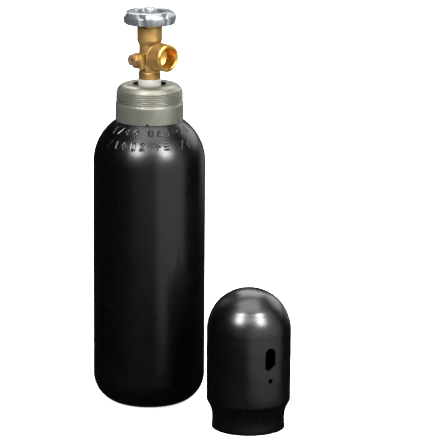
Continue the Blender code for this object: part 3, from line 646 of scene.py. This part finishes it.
def shoulder_height(radius):
    """Height of the shoulder's outer face at a radius."""
    return SHOULDER_START + math.sqrt(SHOULDER_RADIUS ** 2 - (radius - shoulder_centre()) ** 2)


def shoulder_centre():
    return CYLINDER_RADIUS - SHOULDER_RADIUS


def stroke_shapes():
    """Abstract marks as polylines in a box one unit wide and high about its middle."""
    return {
        "bar": [[(0, -0.5), (0, 0.5)]],
        "slash": [[(-0.4, -0.5), (0.4, 0.5)]],
        "dash": [[(-0.5, 0), (0.5, 0)]],
        "cross": [[(-0.5, 0), (0.5, 0)], [(0, -0.4), (0, 0.4)]],
        "diamond": [[(0, -0.5), (0.5, 0), (0, 0.5), (-0.5, 0), (0, -0.5)]],
        "triangle": [[(-0.5, -0.5), (0.5, -0.5), (0, 0.5), (-0.5, -0.5)]],
        "frame": [[(-0.4, -0.5), (0.4, -0.5), (0.4, 0.5), (-0.4, 0.5), (-0.4, -0.5)]],
        "hourglass": [[(-0.45, -0.5), (0.45, -0.5), (-0.45, 0.5), (0.45, 0.5), (-0.45, -0.5)]],
        "steps": [[(-0.5, 0.42), (0.5, 0.42)], [(-0.5, 0), (0.5, 0)], [(-0.5, -0.42), (0.5, -0.42)]],
    }


def segment_distance(x, y, a, b):
    """Distance from the points (x, y) to the segment from a to b."""
    along = np.array(b, dtype=float) - np.array(a, dtype=float)
    share = ((x - a[0]) * along[0] + (y - a[1]) * along[1]) / (along @ along)
    share = np.clip(share, 0.0, 1.0)
    return np.hypot(x - a[0] - share * along[0], y - a[1] - share * along[1])


def stamped_marks(turn, radius, height):
    """Dents with a small raised lip, in two rows round the shoulder's front."""
    size = np.array((MARK_WIDTH, MARK_HEIGHT))
    elevation = np.arctan2(height - SHOULDER_START, radius - shoulder_centre())
    on_shoulder = (height > SHOULDER_START + 5) & (radius > RING_RADIUS - 2)
    nearest = np.full(radius.shape, NO_MARK)
    shapes = stroke_shapes()
    for level, pitch, groups in MARK_ROWS:
        up = (elevation - math.radians(level)) * SHOULDER_RADIUS
        row_radius = shoulder_centre() + SHOULDER_RADIUS * math.cos(math.radians(level))
        for start, kinds in groups:
            for number, kind in enumerate(kinds):
                centre = math.radians(VIEW_TURN + start + number * pitch)
                sideways = ((turn - centre + math.pi) % math.tau - math.pi) * row_radius
                for line in shapes[kind]:
                    points = [tuple(np.array(p) * size) for p in line]
                    for a, b in zip(points, points[1:]):
                        nearest = np.minimum(nearest, segment_distance(sideways, up, a, b))
    inside = np.clip(1.0 - nearest / (MARK_STROKE * 1.5), 0.0, 1.0)
    dent = -MARK_DEPTH * inside * inside * (3.0 - 2.0 * inside)
    lip = MARK_LIP * np.exp(-((nearest - MARK_STROKE * 1.75) / MARK_LIP_WIDTH) ** 2)
    return np.where(on_shoulder, dent + lip, 0.0)


def front_angles():
    """Close columns where the marks are, wider ones round the rest."""
    start, end = MARK_FRONT
    fine = np.arange(VIEW_TURN + start, VIEW_TURN + end, MARK_COLUMN)
    coarse = np.linspace(fine[-1], fine[0] + 360.0, REST_COLUMNS)[1:-1]
    return np.concatenate([fine, coarse])


def make_shell(paint):
    """One skin: neck, marked shoulder, wall, dished base and the gas space inside."""
    fillet_radius = NECK_RADIUS + NECK_FILLET
    centre = (shoulder_centre(), SHOULDER_START)
    top = math.degrees(math.acos((fillet_radius - centre[0]) / SHOULDER_RADIUS))
    outer = [(NECK_BORE, NECK_TOP), (NECK_RADIUS, NECK_TOP),
             (NECK_RADIUS, shoulder_height(fillet_radius) + NECK_FILLET)]
    band_top, band_bottom = MARK_BAND
    outer += arc(centre, SHOULDER_RADIUS, top, band_top, 8)
    outer += arc(centre, SHOULDER_RADIUS, band_top, band_bottom, MARK_BAND_ROWS)[1:]
    outer += arc(centre, SHOULDER_RADIUS, band_bottom, 0, 10)[1:]
    corner = (CYLINDER_RADIUS - BASE_CORNER, BASE_CORNER)
    outer += resample([outer[-1], (CYLINDER_RADIUS, BASE_CORNER)], 26.0)[1:]
    outer += arc(corner, BASE_CORNER, 0, -90, 24)[1:]
    foot_inner = corner[0] - FOOT_WIDTH
    dish = [(foot_inner * (1 - i / DISH_STEPS), BASE_RISE * math.sin(math.pi / 2 * i / DISH_STEPS))
            for i in range(DISH_STEPS + 1)]
    inner_corner = BASE_CORNER - CYLINDER_WALL
    inside = [(0, BASE_RISE + BASE_THICKNESS),
              (foot_inner * INSIDE_BEND, BASE_THICKNESS + BASE_RISE * INSIDE_BEND)]
    inside += arc((corner[0], BASE_THICKNESS + INSIDE_LIFT + inner_corner), inner_corner, -90, 0, 6)
    lining = SHOULDER_RADIUS - CYLINDER_WALL
    turn_in = math.degrees(math.acos((NECK_BORE - centre[0]) / lining))
    inside += arc((centre[0], SHOULDER_START - SHOULDER_THICKENING), lining, 0, turn_in, 8)
    shell = turned("cylinder_shell_painted", outer + dish + inside, front_angles(), True, stamped_marks)
    return finish(coat(shell, paint), "cylinder", "cylinder_shell")


# ---------------------------------------------------------------- neck ring and tape

def thread_form(turn, height):
    """Depth of a worn, rounded thread that starts at THREAD_TOP and runs out at THREAD_BOTTOM."""
    form = 0.5 - 0.5 * np.cos(math.tau * height / THREAD_PITCH - turn)
    start = np.clip((THREAD_TOP - height) / THREAD_START, 0.0, 1.0)
    runout = np.clip((height - THREAD_BOTTOM) / THREAD_RUNOUT, 0.0, 1.0)
    return THREAD_DEPTH * form * start * runout


def ring_relief(turn, radius, height):
    """Sink the thread into the ring's outside."""
    outside = radius > THREAD_RADIUS - 2.6
    return np.where(outside, -thread_form(turn, height), 0.0)


def make_neck_ring(steel, shaded_mouth):
    """The threaded ring, its mouth and bore painted near black as painted shade, with the small notch in
    its lower edge.
    """
    top_centre = (THREAD_RADIUS - RING_ROUNDING, RING_TOP - RING_ROUNDING)
    profile = arc((RING_MOUTH + RING_LIP, RING_TOP - RING_LIP), RING_LIP, 180, 90, 3)
    profile += arc(top_centre, RING_ROUNDING, 90, THREAD_ELEVATION, 30)
    profile += resample(arc(top_centre, RING_ROUNDING, THREAD_ELEVATION, 0, 12), THREAD_ROW)
    profile += resample([profile[-1], (THREAD_RADIUS, THREAD_BOTTOM - 0.6)], THREAD_ROW)[1:]
    step_centre = (RING_RADIUS - RING_STEP_ROUNDING, THREAD_BOTTOM - RING_STEP_DROP)
    profile += arc(step_centre, RING_STEP_ROUNDING, 80, 0, 4)
    profile += resample([profile[-1], (RING_RADIUS, RING_BOTTOM + 0.4)], 2.0)[1:]
    profile += [(RING_RADIUS - 0.3, RING_BOTTOM + 0.05)]
    relief_width, relief_height = RING_RELIEF
    under = [(radius, shoulder_height(radius) + RING_SEAT_GAP)
             for radius in np.linspace(RING_RADIUS - 0.8, NECK_RADIUS + relief_width, 10)]
    profile += under
    bore = NECK_RADIUS + RING_BORE_GAP
    profile += [(bore, under[-1][1] + relief_height), (bore, NECK_TOP - 1)]
    ring = turned("neck_ring_threaded", profile, around(420), True, ring_relief)
    notch = rod("ring_notch", RING_NOTCH_RADIUS, RING_RADIUS - 3, RING_RADIUS + 3, 24)
    move(notch, (0, 0, RING_BOTTOM + 0.8), about_z(RING_NOTCH_TURN) @ ALONG_OUTLET)
    cut(coat(ring, steel), [coat(notch, steel)])
    # The mouth and bore take the near-black steel: painted shade.
    ring.data.materials.append(shaded_mouth)
    for face in ring.data.polygons:
        if math.hypot(face.center.x, face.center.y) < (RING_MOUTH + SHADED_MOUTH_REACH) * MM:
            face.material_index = len(ring.data.materials) - 1
    return finish(ring, "cylinder", "neck_ring")


def tape_relief(turn, radius, height):
    """Overlapping turns of tape, each with a slightly wandering edge."""
    outside = radius > INLET_RADIUS + 0.8
    wander = (0.06 * np.sin(5 * turn), 0.05 * np.sin(11 * turn + 2))
    lap = (height / TAPE_LAP + turn / math.tau + wander[0] + wander[1]) % 1.0
    ripple = TAPE_RIPPLE * np.sin(17 * turn + height * 1.3) * np.sin(height * 0.9 + 4 * turn)
    return np.where(outside, TAPE_STEP * lap - TAPE_SINK + ripple, 0.0)


def make_tape(tape):
    """A sleeve of tape between the valve's inlet and the neck's bore."""
    inner, outer = INLET_RADIUS + 0.25, NECK_BORE - 0.35
    bottom, top = INLET_BOTTOM + 2, COLLAR_BOTTOM - 0.2
    profile = resample([(inner, top), (outer - 0.5, top), (outer, top - 0.4), (outer, bottom)], 0.3)
    profile += [(inner, bottom)]
    wrap = turned("thread_tape_wound", profile, around(240), True, tape_relief)
    return finish(coat(wrap, tape), "cylinder", "thread_seal_tape")


# ---------------------------------------------------------------- valve

def valve_blank():
    """The forging: overlapping shapes, left a little long where a face is machined later."""
    column_end = BARREL_TOP + OVERSHOOT
    column = turned("column", [
        (0, column_end), (BARREL_RADIUS, column_end), (BARREL_RADIUS, BARREL_BOTTOM + 0.5),
        (WAIST_RADIUS, WAIST_TOP), (WAIST_RADIUS, COLLAR_TOP + 1.5), (COLLAR_RADIUS, COLLAR_TOP),
        (COLLAR_RADIUS, COLLAR_BOTTOM - 0.1), (INLET_RADIUS, COLLAR_BOTTOM - 0.1),
        (INLET_RADIUS, INLET_BOTTOM), (0, INLET_BOTTOM),
    ], around(160))
    boss_end = OUTLET_FACE + OVERSHOOT
    outlet = turned("outlet", [
        (0, boss_end), (OUTLET_RADIUS, boss_end), (OUTLET_RADIUS, OUTLET_REAR + 1.7),
        (OUTLET_RADIUS + 0.5, OUTLET_REAR + 1.2), (OUTLET_RADIUS + 0.5, OUTLET_REAR + 0.3),
        (OUTLET_RADIUS - 0.9, OUTLET_REAR), (OUTLET_RADIUS - 2.6, OUTLET_REAR - 0.6), (0, 5.0),
    ], around(160))
    lean_rear_edge(outlet)
    move(outlet, (0, 0, OUTLET_HEIGHT), ALONG_OUTLET)
    belly = turned("belly", BELLY_SECTION, around(96))
    move(belly, (0, 0, OUTLET_HEIGHT - BELLY_DROP), ALONG_OUTLET)
    safety = block("safety", (-SAFETY_BLOCK_HALF, -SAFETY_BLOCK_END, SAFETY_HEIGHT - SAFETY_BLOCK_DROP),
                   (SAFETY_BLOCK_HALF, -3, SAFETY_HEIGHT + SAFETY_BLOCK_RISE))
    boss = rod("safety_boss", SAFETY_TIP_RADIUS, SAFETY_BLOCK_END - 2, SAFETY_FACE + OVERSHOOT)
    move(boss, (0, 0, SAFETY_HEIGHT), ALONG_SAFETY)
    turn = math.radians(RIDGE_TURN)
    spread = math.acos(WAIST_RADIUS / RIDGE_REACH)
    corners = ((turn - spread, WAIST_RADIUS), (turn, RIDGE_REACH), (turn + spread, WAIST_RADIUS))
    outline = [(0.0, 0.0)]
    outline += [(reach * math.cos(angle), reach * math.sin(angle)) for angle, reach in corners]
    ridge = prism("ridge", outline, COLLAR_TOP + 2.5, OUTLET_HEIGHT + 1)
    return join("valve_body_forged", [column, outlet, belly, safety, boss, ridge])


def lean_rear_edge(outlet):
    """Lean the back edge of the boss towards its face, most at the top, before it is turned to +X."""
    for vertex in outlet.data.vertices:
        if vertex.co.z < (OUTLET_REAR + 2) * MM:
            share = max(0.0, -vertex.co.x / (OUTLET_RADIUS * MM))
            vertex.co.z += REAR_SLANT * MM * share * share


def valve_cutters(forged, machined):
    """Faces and bores cut into the forging, in the order they are cut."""
    safety = turned("safety_bore", [
        (0, SAFETY_FACE + 6), (20, SAFETY_FACE + 6), (20, SAFETY_FACE), (SAFETY_BORE, SAFETY_FACE),
        (SAFETY_BORE, SAFETY_FLOOR), (SAFETY_PASSAGE, SAFETY_FLOOR), (SAFETY_PASSAGE, 0.5), (0, 0.5),
    ], around(48))
    move(safety, (0, 0, SAFETY_HEIGHT), ALONG_SAFETY)
    outside, ahead = OUTLET_RADIUS + 2, OUTLET_FACE + 5
    bore_start = (OUTLET_BORE, OUTLET_FACE - (OUTLET_MOUTH - OUTLET_BORE))
    bore = [(0, ahead), (outside, ahead), (outside, OUTLET_FACE - OUTLET_CHAMFER - 2),
            (OUTLET_RADIUS - OUTLET_CHAMFER, OUTLET_FACE), (OUTLET_MOUTH, OUTLET_FACE), bore_start]
    bore += resample([bore_start, (OUTLET_BORE, OUTLET_FLOOR + 3.5)], 1.0)[1:]
    bore += [(6.5, OUTLET_FLOOR), (0, OUTLET_FLOOR)]
    outlet = turned("outlet_bore", bore, around(128))
    move(outlet, (0, 0, OUTLET_HEIGHT), ALONG_OUTLET)
    above = [(0, BARREL_TOP + 5), (30, BARREL_TOP + 5), (30, BARREL_TOP)]
    chamber = turned("chamber", [*above, *CHAMBER_SECTION, (0, INLET_BOTTOM - 2)], around(64))
    passage = rod("passage", PASSAGE_RADIUS, PASSAGE_START, OUTLET_FLOOR + OVERSHOOT, 32)
    move(passage, (0, 0, PASSAGE_HEIGHT), ALONG_OUTLET)
    cutters = [coat(cutter, machined) for cutter in (safety, outlet, chamber, passage)]
    near, far = COLLAR_FLATS / 2, COLLAR_FLATS
    for side in range(4):
        flat = block(f"flat_{side}", (near, -far, COLLAR_BOTTOM - 3), (far, far, COLLAR_TOP + 0.4))
        cutters.append(coat(move(flat, rotation=about_z(90 * side)), forged))
    return cutters


def make_valve(forged, machined, bore):
    """The forging with its machined faces; the outlet's bore gets a darker copy of the machined brass as
    painted shade.
    """
    body = remesh(valve_blank(), SKIN_VOXEL, VALVE_SOFTENING)
    coat(body, forged)
    body.data.materials.append(machined)
    cut(body, valve_cutters(forged, machined))
    # The bore's faces take the darker brass: painted shade inside the outlet.
    body.data.materials.append(bore)
    for face in body.data.polygons:
        x, y, z = face.center / MM
        in_bore = math.hypot(y, z - OUTLET_HEIGHT) < OUTLET_BORE + 0.3
        if in_bore and OUTLET_FLOOR - 0.5 < x < OUTLET_FACE - 0.5:
            face.material_index = len(body.data.materials) - 1
    return finish(body, "cylinder", "valve_body")


def make_safety_plug(brass):
    """Hexagon head with turned corners, a hollow middle and the shank that closes the bore."""
    head = rod("head", SAFETY_HEX_RADIUS, SAFETY_FACE + 0.3, SAFETY_HEAD_END, 6)
    past_head = SAFETY_HEAD_END + OVERSHOOT
    end_radius = SAFETY_HEX_RADIUS - 0.9
    chamfers = turned("chamfers", [
        (9, past_head), (9, SAFETY_FACE + 0.2), (SAFETY_HEX_RADIUS + 0.3, SAFETY_FACE + 0.2),
        (SAFETY_HEX_RADIUS + 0.1, SAFETY_HEAD_END - 0.8), (end_radius, SAFETY_HEAD_END + 0.2),
        (end_radius, past_head),
    ], around(64), True)
    vent = turned("vent", [
        (0, past_head), (SAFETY_VENT_MOUTH, SAFETY_HEAD_END + 0.5), (SAFETY_VENT, SAFETY_HEAD_END - 0.5),
        (SAFETY_VENT, SAFETY_VENT_FLOOR), (0, SAFETY_VENT_FLOOR),
    ], around(48))
    shank = rod("shank", SAFETY_BORE - 0.3, SAFETY_FLOOR + 2.0, SAFETY_FACE + 0.8, 48)
    for piece in (head, chamfers, vent, shank):
        coat(piece, brass)
    cut(head, [chamfers])
    fuse = head.modifiers.new("fuse", "BOOLEAN")
    fuse.operation, fuse.solver, fuse.object = "UNION", "EXACT", shank
    apply_modifiers(head)
    bpy.data.objects.remove(shank, do_unlink=True)
    cut(head, [vent])
    head.name = "safety_plug_hex"
    move(head, (0, 0, SAFETY_HEIGHT), ALONG_SAFETY)
    return finish(head, "cylinder", "safety_plug")


# ---------------------------------------------------------------- handwheel and nut

def make_handwheel(aluminium):
    """A cast rim with a groove and a wedge between the lobes, and a square hole."""
    profile = [(radius, WHEEL_BOTTOM + height) for radius, height in WHEEL_SECTION]
    wheel = turned("handwheel_cast", profile, around(216))
    (low_half, low), (high_half, high) = NOTCH_FLOOR, NOTCH_OPEN
    notch = [(-low_half, low), (low_half, low), (high_half, high), (-high_half, high)]
    cutters = []
    for lobe in range(WHEEL_LOBES):
        turn = WHEEL_NOTCH_TURN + lobe * 360.0 / WHEEL_LOBES
        scallop = rod(f"scallop_{lobe}", SCALLOP_RADIUS, WHEEL_BOTTOM - 2, WHEEL_TOP + 2, 48)
        cutters.append(move(scallop, about_z(turn).to_3x3() @ Vector((SCALLOP_DISTANCE, 0, 0))))
        wedge = prism(f"wedge_{lobe}", notch, NOTCH_RADIUS, NOTCH_RADIUS + 10)
        wedge.data.transform(UPRIGHT)
        cutters.append(move(wedge, rotation=about_z(turn + NOTCH_LEAD)))
    cut(coat(wheel, aluminium), cutters)
    remesh(wheel, SKIN_VOXEL, WHEEL_SOFTENING)
    half = STEM_SQUARE / 2 + SQUARE_GAP
    square = block("square", (-half, -half, WHEEL_BOTTOM - 2), (half, half, WHEEL_TOP))
    cut(coat(wheel, aluminium), [square])
    return finish(wheel, "stem", "handwheel")


def make_nut(plated):
    """A chamfered hexagon nut with an open hole."""
    nut = rod("nut", NUT_HEX_RADIUS, NUT_BOTTOM, NUT_TOP, 6)
    above, below = NUT_TOP + OVERSHOOT, NUT_BOTTOM - OVERSHOOT
    chamfer = turned("nut_chamfer", [
        (9, above), (9, NUT_TOP - 1.1), (NUT_HEX_RADIUS + 0.2, NUT_TOP - 0.9),
        (NUT_HEX_RADIUS - 1.1, NUT_TOP + 0.1), (NUT_HEX_RADIUS - 1.1, above),
    ], around(64), True)
    hole = turned("nut_hole", [
        (0, above), (NUT_HOLE_MOUTH, NUT_TOP + 0.5), (NUT_HOLE, NUT_TOP - 0.4),
        (NUT_HOLE, below), (0, below),
    ], around(48))
    cut(coat(nut, plated), [coat(chamfer, plated), coat(hole, plated)])
    nut.name = "handwheel_nut_plated"
    return finish(nut, "stem", "handwheel_nut")


# ---------------------------------------------------------------- protective cap

def cap_relief(turn, radius, height):
    """Spun unevenness outside, and the thread inside the mouth."""
    low, high = CAP_THREAD_ZONE
    inside_thread = (radius < CAP_THREAD_BORE + 0.5) & (height < high) & (height > low)
    phase = (height / THREAD_PITCH - turn / math.tau) % 1.0
    thread = CAP_THREAD_DEPTH * np.abs(phase * 2.0 - 1.0)
    outside = (radius > CAP_THREAD_BORE + 2) & (height > 24)
    wave = 0.10 * np.sin(4 * turn + height * 0.05) + 0.07 * np.sin(height * 0.21 + 2 * turn)
    return (np.where(inside_thread, thread - CAP_THREAD_DEPTH, 0.0)
            - np.where(outside, CAP_SINK - wave, 0.0))


def slot_outline():
    """A slot with a round top and a pointed foot, as (sideways, height)."""
    half = CAP_SLOT_WIDTH / 2
    low, high = CAP_SLOT_CORNERS
    outline = [(-half, low), (CAP_SLOT_APEX, CAP_SLOT_BOTTOM), (half, high)]
    outline += [tuple(p) for p in arc((0, CAP_SLOT_TOP - half), half, 0, 180, 24)]
    return outline


def make_cap(paint):
    """Dome, wall, step and threaded mouth, with a slot on each side and a small hole."""
    dome = (0, CAP_DOME_HEIGHT)
    inside = CAP_RADIUS - CAP_WALL
    profile = arc(dome, CAP_RADIUS, 90, 0, 44)
    wall_end = CAP_STEP_TOP + 2.6
    profile += resample([profile[-1], (CAP_RADIUS, wall_end)], 2.0)[1:]
    profile += arc((CAP_RADIUS - CAP_STEP_ROUNDING, wall_end), CAP_STEP_ROUNDING, 0, -34, 6)[1:]
    profile += [(CAP_RADIUS - inwards, CAP_STEP_TOP - down) for inwards, down in CAP_STEP_SLOPE]
    profile += [(CAP_NECK_RADIUS + 0.5, CAP_STEP_TOP - 14.0), (CAP_NECK_RADIUS, CAP_STEP_TOP - 18)]
    profile += [(CAP_NECK_RADIUS, 9), (CAP_NECK_RADIUS + 0.3, 5)]
    profile += arc((CAP_RIM_RADIUS - 0.7, 0.7), 0.7, 0, -90, 3)
    profile += [(CAP_THREAD_BORE + 1.2, 0), (CAP_THREAD_BORE, 1.2)]
    profile += resample([(CAP_THREAD_BORE, 1.2), (CAP_THREAD_BORE, CAP_BORE_TOP)], 0.35)[1:]
    profile += resample([(CAP_THREAD_BORE, CAP_BORE_TOP), (inside, CAP_INSIDE_BOTTOM)], 2.0)[1:]
    profile += resample([(inside, CAP_INSIDE_BOTTOM), (inside, CAP_DOME_HEIGHT)], 4.0)[1:]
    profile += arc(dome, inside, 0, 90, 24)[1:]
    cap = turned("protective_cap_painted", profile, around(256), relief=cap_relief)
    slot = prism("slot", slot_outline(), -CAP_RADIUS - 5, CAP_RADIUS + 5)
    slot.data.transform(UPRIGHT)
    move(slot, rotation=about_z(CAP_SLOT_TURN))
    hole = rod("hole", CAP_HOLE_RADIUS, CAP_RADIUS - 10, CAP_RADIUS + 5, 32)
    move(hole, (0, 0, CAP_HOLE_HEIGHT), about_z(CAP_SLOT_TURN) @ ALONG_OUTLET)
    cut(coat(cap, paint), [coat(slot, paint), coat(hole, paint)])
    return finish(cap, "cap", "protective_cap", (CAP_X, CAP_Y, 0))


# ---------------------------------------------------------------- CAD pieces that show as they are

def paint_nodes(frame, finishes):
    """Give each CAD node that keeps its own mesh a finish, through the object's slots."""
    for material, names in finishes:
        for name in names:
            obj = frame["nodes"][name]
            for slot in obj.material_slots:
                slot.link = "OBJECT"
                slot.material = material


# ---------------------------------------------------------------- stage, lights and camera

def direction(turn, elevation):
    """Unit vector at a turn from the camera's side and an elevation, in degrees."""
    around_z, up = math.radians(VIEW_TURN + turn), math.radians(elevation)
    return Vector((math.cos(around_z) * math.cos(up), math.sin(around_z) * math.cos(up), math.sin(up)))


def make_camera():
    """A long lens from the front right, a little above the pair."""
    turn = math.radians(VIEW_TURN)
    right = Vector((-math.sin(turn), math.cos(turn), 0))
    target = Vector((CYLINDER_X, 0, AIM_HEIGHT)) * MM + right * AIM_RIGHT * MM
    back = direction(0.0, CAMERA_PITCH)
    data = bpy.data.cameras.new("camera")
    data.lens = CAMERA_LENS
    data.sensor_width = CAMERA_SENSOR
    data.clip_end = 100.0
    camera = bpy.data.objects.new("camera", data)
    camera.location = target + back * CAMERA_DISTANCE
    roll = Matrix.Rotation(math.radians(CAMERA_ROLL), 3, "Z")
    aim = back.to_track_quat("Z", "Y").to_matrix() @ roll
    camera.rotation_euler = aim.to_euler()
    bpy.context.scene.collection.objects.link(camera)
    bpy.context.scene.camera = camera


def softbox(name, turn, elevation, distance, size, radiance, height=0.25):
    """An area light that faces the cylinder's axis, height metres up, from a distance in metres."""
    data = bpy.data.lights.new(name, "AREA")
    data.shape = "RECTANGLE"
    data.size, data.size_y = size
    data.energy = radiance * math.pi * size[0] * size[1]
    away = direction(turn, elevation)
    light = bpy.data.objects.new(name, data)
    light.location = Vector((CYLINDER_X * MM, 0, height)) + away * distance
    light.rotation_euler = away.to_track_quat("Z", "Y").to_euler()
    light.visible_camera = False
    bpy.context.scene.collection.objects.link(light)


def make_lights():
    """Two key boxes with a fill between, light from above and behind, and low cards on the right."""
    softbox("key_left", -27, 37, 3.0, KEY_SIZE, KEY_RADIANCE)
    softbox("key_right", 39, 32, 3.0, KEY_SIZE, KEY_RADIANCE)
    softbox("key_between", 6, 38, 3.0, (2.2, 0.7), 3.5)
    softbox("ceiling", 10, 80, 2.6, (2.4, 2.0), 3.6)
    softbox("back_high", 180, 50, 2.6, (2.2, 1.6), 3.4)
    softbox("side_back", 135, 26, 2.6, (1.8, 1.3), 1.8)
    softbox("card_front", -2, 0, 0.8, (0.85, 0.9), 0.25, CARD_CENTRE)
    for number, (distance, radiance) in enumerate(RIGHT_CARDS):
        softbox(f"card_right_{number}", 45, 0, distance, (1.06 * distance, 0.9), radiance, CARD_CENTRE)
    softbox("rim_right", 140, 0, 1.2, (0.5, 1.0), 0.4, 0.5)


def make_world():
    """Pale for the camera and for diffuse light, nearly black in reflections."""
    world = bpy.data.worlds.new("studio")
    world.use_nodes = True
    bpy.context.scene.world = world
    tree = world.node_tree
    background = tree.nodes["Background"]
    path = tree.nodes.new("ShaderNodeLightPath")
    mix = tree.nodes.new("ShaderNodeMix")
    mix.data_type = "RGBA"
    mix.inputs[6].default_value = (1.0, 1.0, 1.0, 1.0)
    mix.inputs[7].default_value = WORLD_IN_GLOSS
    tree.links.new(path.outputs["Is Glossy Ray"], mix.inputs[0])
    tree.links.new(mix.outputs[2], background.inputs["Color"])
    background.inputs["Strength"].default_value = WORLD_STRENGTH


def make_floor():
    """A pale floor that glows a little, for the camera only."""
    mesh = bpy.data.meshes.new("floor")
    shape = bmesh.new()
    bmesh.ops.create_grid(shape, x_segments=1, y_segments=1, size=FLOOR_HALF)
    shape.to_mesh(mesh)
    shape.free()
    floor = add("floor", mesh)
    m = Nodes("floor")
    seen = m.node("ShaderNodeLightPath").outputs["Is Camera Ray"]
    m.set(Base_Color=(0.93, 0.93, 0.93, 1.0), Roughness=0.9, Specular_IOR_Level=0.1,
          Emission_Color=(1.0, 1.0, 1.0, 1.0), Emission_Strength=m.math("MULTIPLY", seen, FLOOR_GLOW))
    floor.data.materials.append(m.material)
    floor.visible_glossy = False


# ---------------------------------------------------------------- build

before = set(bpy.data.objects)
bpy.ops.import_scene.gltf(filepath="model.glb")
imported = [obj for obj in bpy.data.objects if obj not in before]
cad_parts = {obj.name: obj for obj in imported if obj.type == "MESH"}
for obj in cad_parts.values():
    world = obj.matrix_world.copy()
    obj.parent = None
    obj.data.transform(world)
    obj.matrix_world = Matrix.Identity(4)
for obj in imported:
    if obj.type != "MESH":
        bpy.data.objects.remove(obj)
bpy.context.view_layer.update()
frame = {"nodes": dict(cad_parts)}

make_camera()
make_world()
make_lights()
make_floor()
bpy.context.scene.view_settings.view_transform = "Standard"

PAINT = black_paint("cylinder_enamel", 0.5)
CAP_PAINT = black_paint("cap_enamel", 0.72)
STEEL = turned_steel()
FORGED = forged_brass()
MACHINED = machined_brass("machined_brass", (0.80, 0.53, 0.13), (0.86, 0.61, 0.19))
# A darker copy of the machined brass for the outlet's bore: painted shade.
SHADED_BORE_BRASS = machined_brass("bore_brass_painted_shade", (0.58, 0.325, 0.062), (0.68, 0.405, 0.095))
ALUMINIUM = cast_aluminium()
PLATED = plated_steel("plated_steel", (0.60, 0.60, 0.58), (0.76, 0.76, 0.74), 0.20, 0.32)
# Near-black steel for the neck ring's mouth and bore: painted shade.
SHADED_MOUTH_STEEL = plated_steel("mouth_steel_painted_shade", (0.010, 0.009, 0.008), (0.030, 0.027, 0.023), 0.45, 0.6, 0.4)
DULL_BRASS = plated_steel("dull_brass", (0.22, 0.14, 0.062), (0.33, 0.215, 0.10), 0.38, 0.5, 0.85)
COPPER = plated_steel("copper_sheet", (0.62, 0.30, 0.17), (0.74, 0.40, 0.26), 0.28, 0.42)
TAPE = wound_tape()
NYLON = soft_part("nylon", (0.70, 0.67, 0.60), (0.78, 0.76, 0.70), 0.5)
RUBBER = soft_part("nitrile_rubber", (0.014, 0.014, 0.015), (0.028, 0.028, 0.028), 0.6)

make_shell(PAINT)
make_neck_ring(STEEL, SHADED_MOUTH_STEEL)
make_tape(TAPE)
make_valve(FORGED, MACHINED, SHADED_BORE_BRASS)
make_safety_plug(DULL_BRASS)
make_handwheel(ALUMINIUM)
make_nut(PLATED)
make_cap(CAP_PAINT)
paint_nodes(frame, (
    (MACHINED, ("bonnet", "lower_plug")),
    (PLATED, ("upper_stem", "handwheel_spring", "handwheel_washer")),
    (COPPER, ("rupture_disc", "safety_gasket")),
    (TAPE, ("backup_ring",)),
    (NYLON, ("bonnet_gasket", "seat_disc", "thrust_washer")),
    (RUBBER, ("stem_o_ring",)),
))
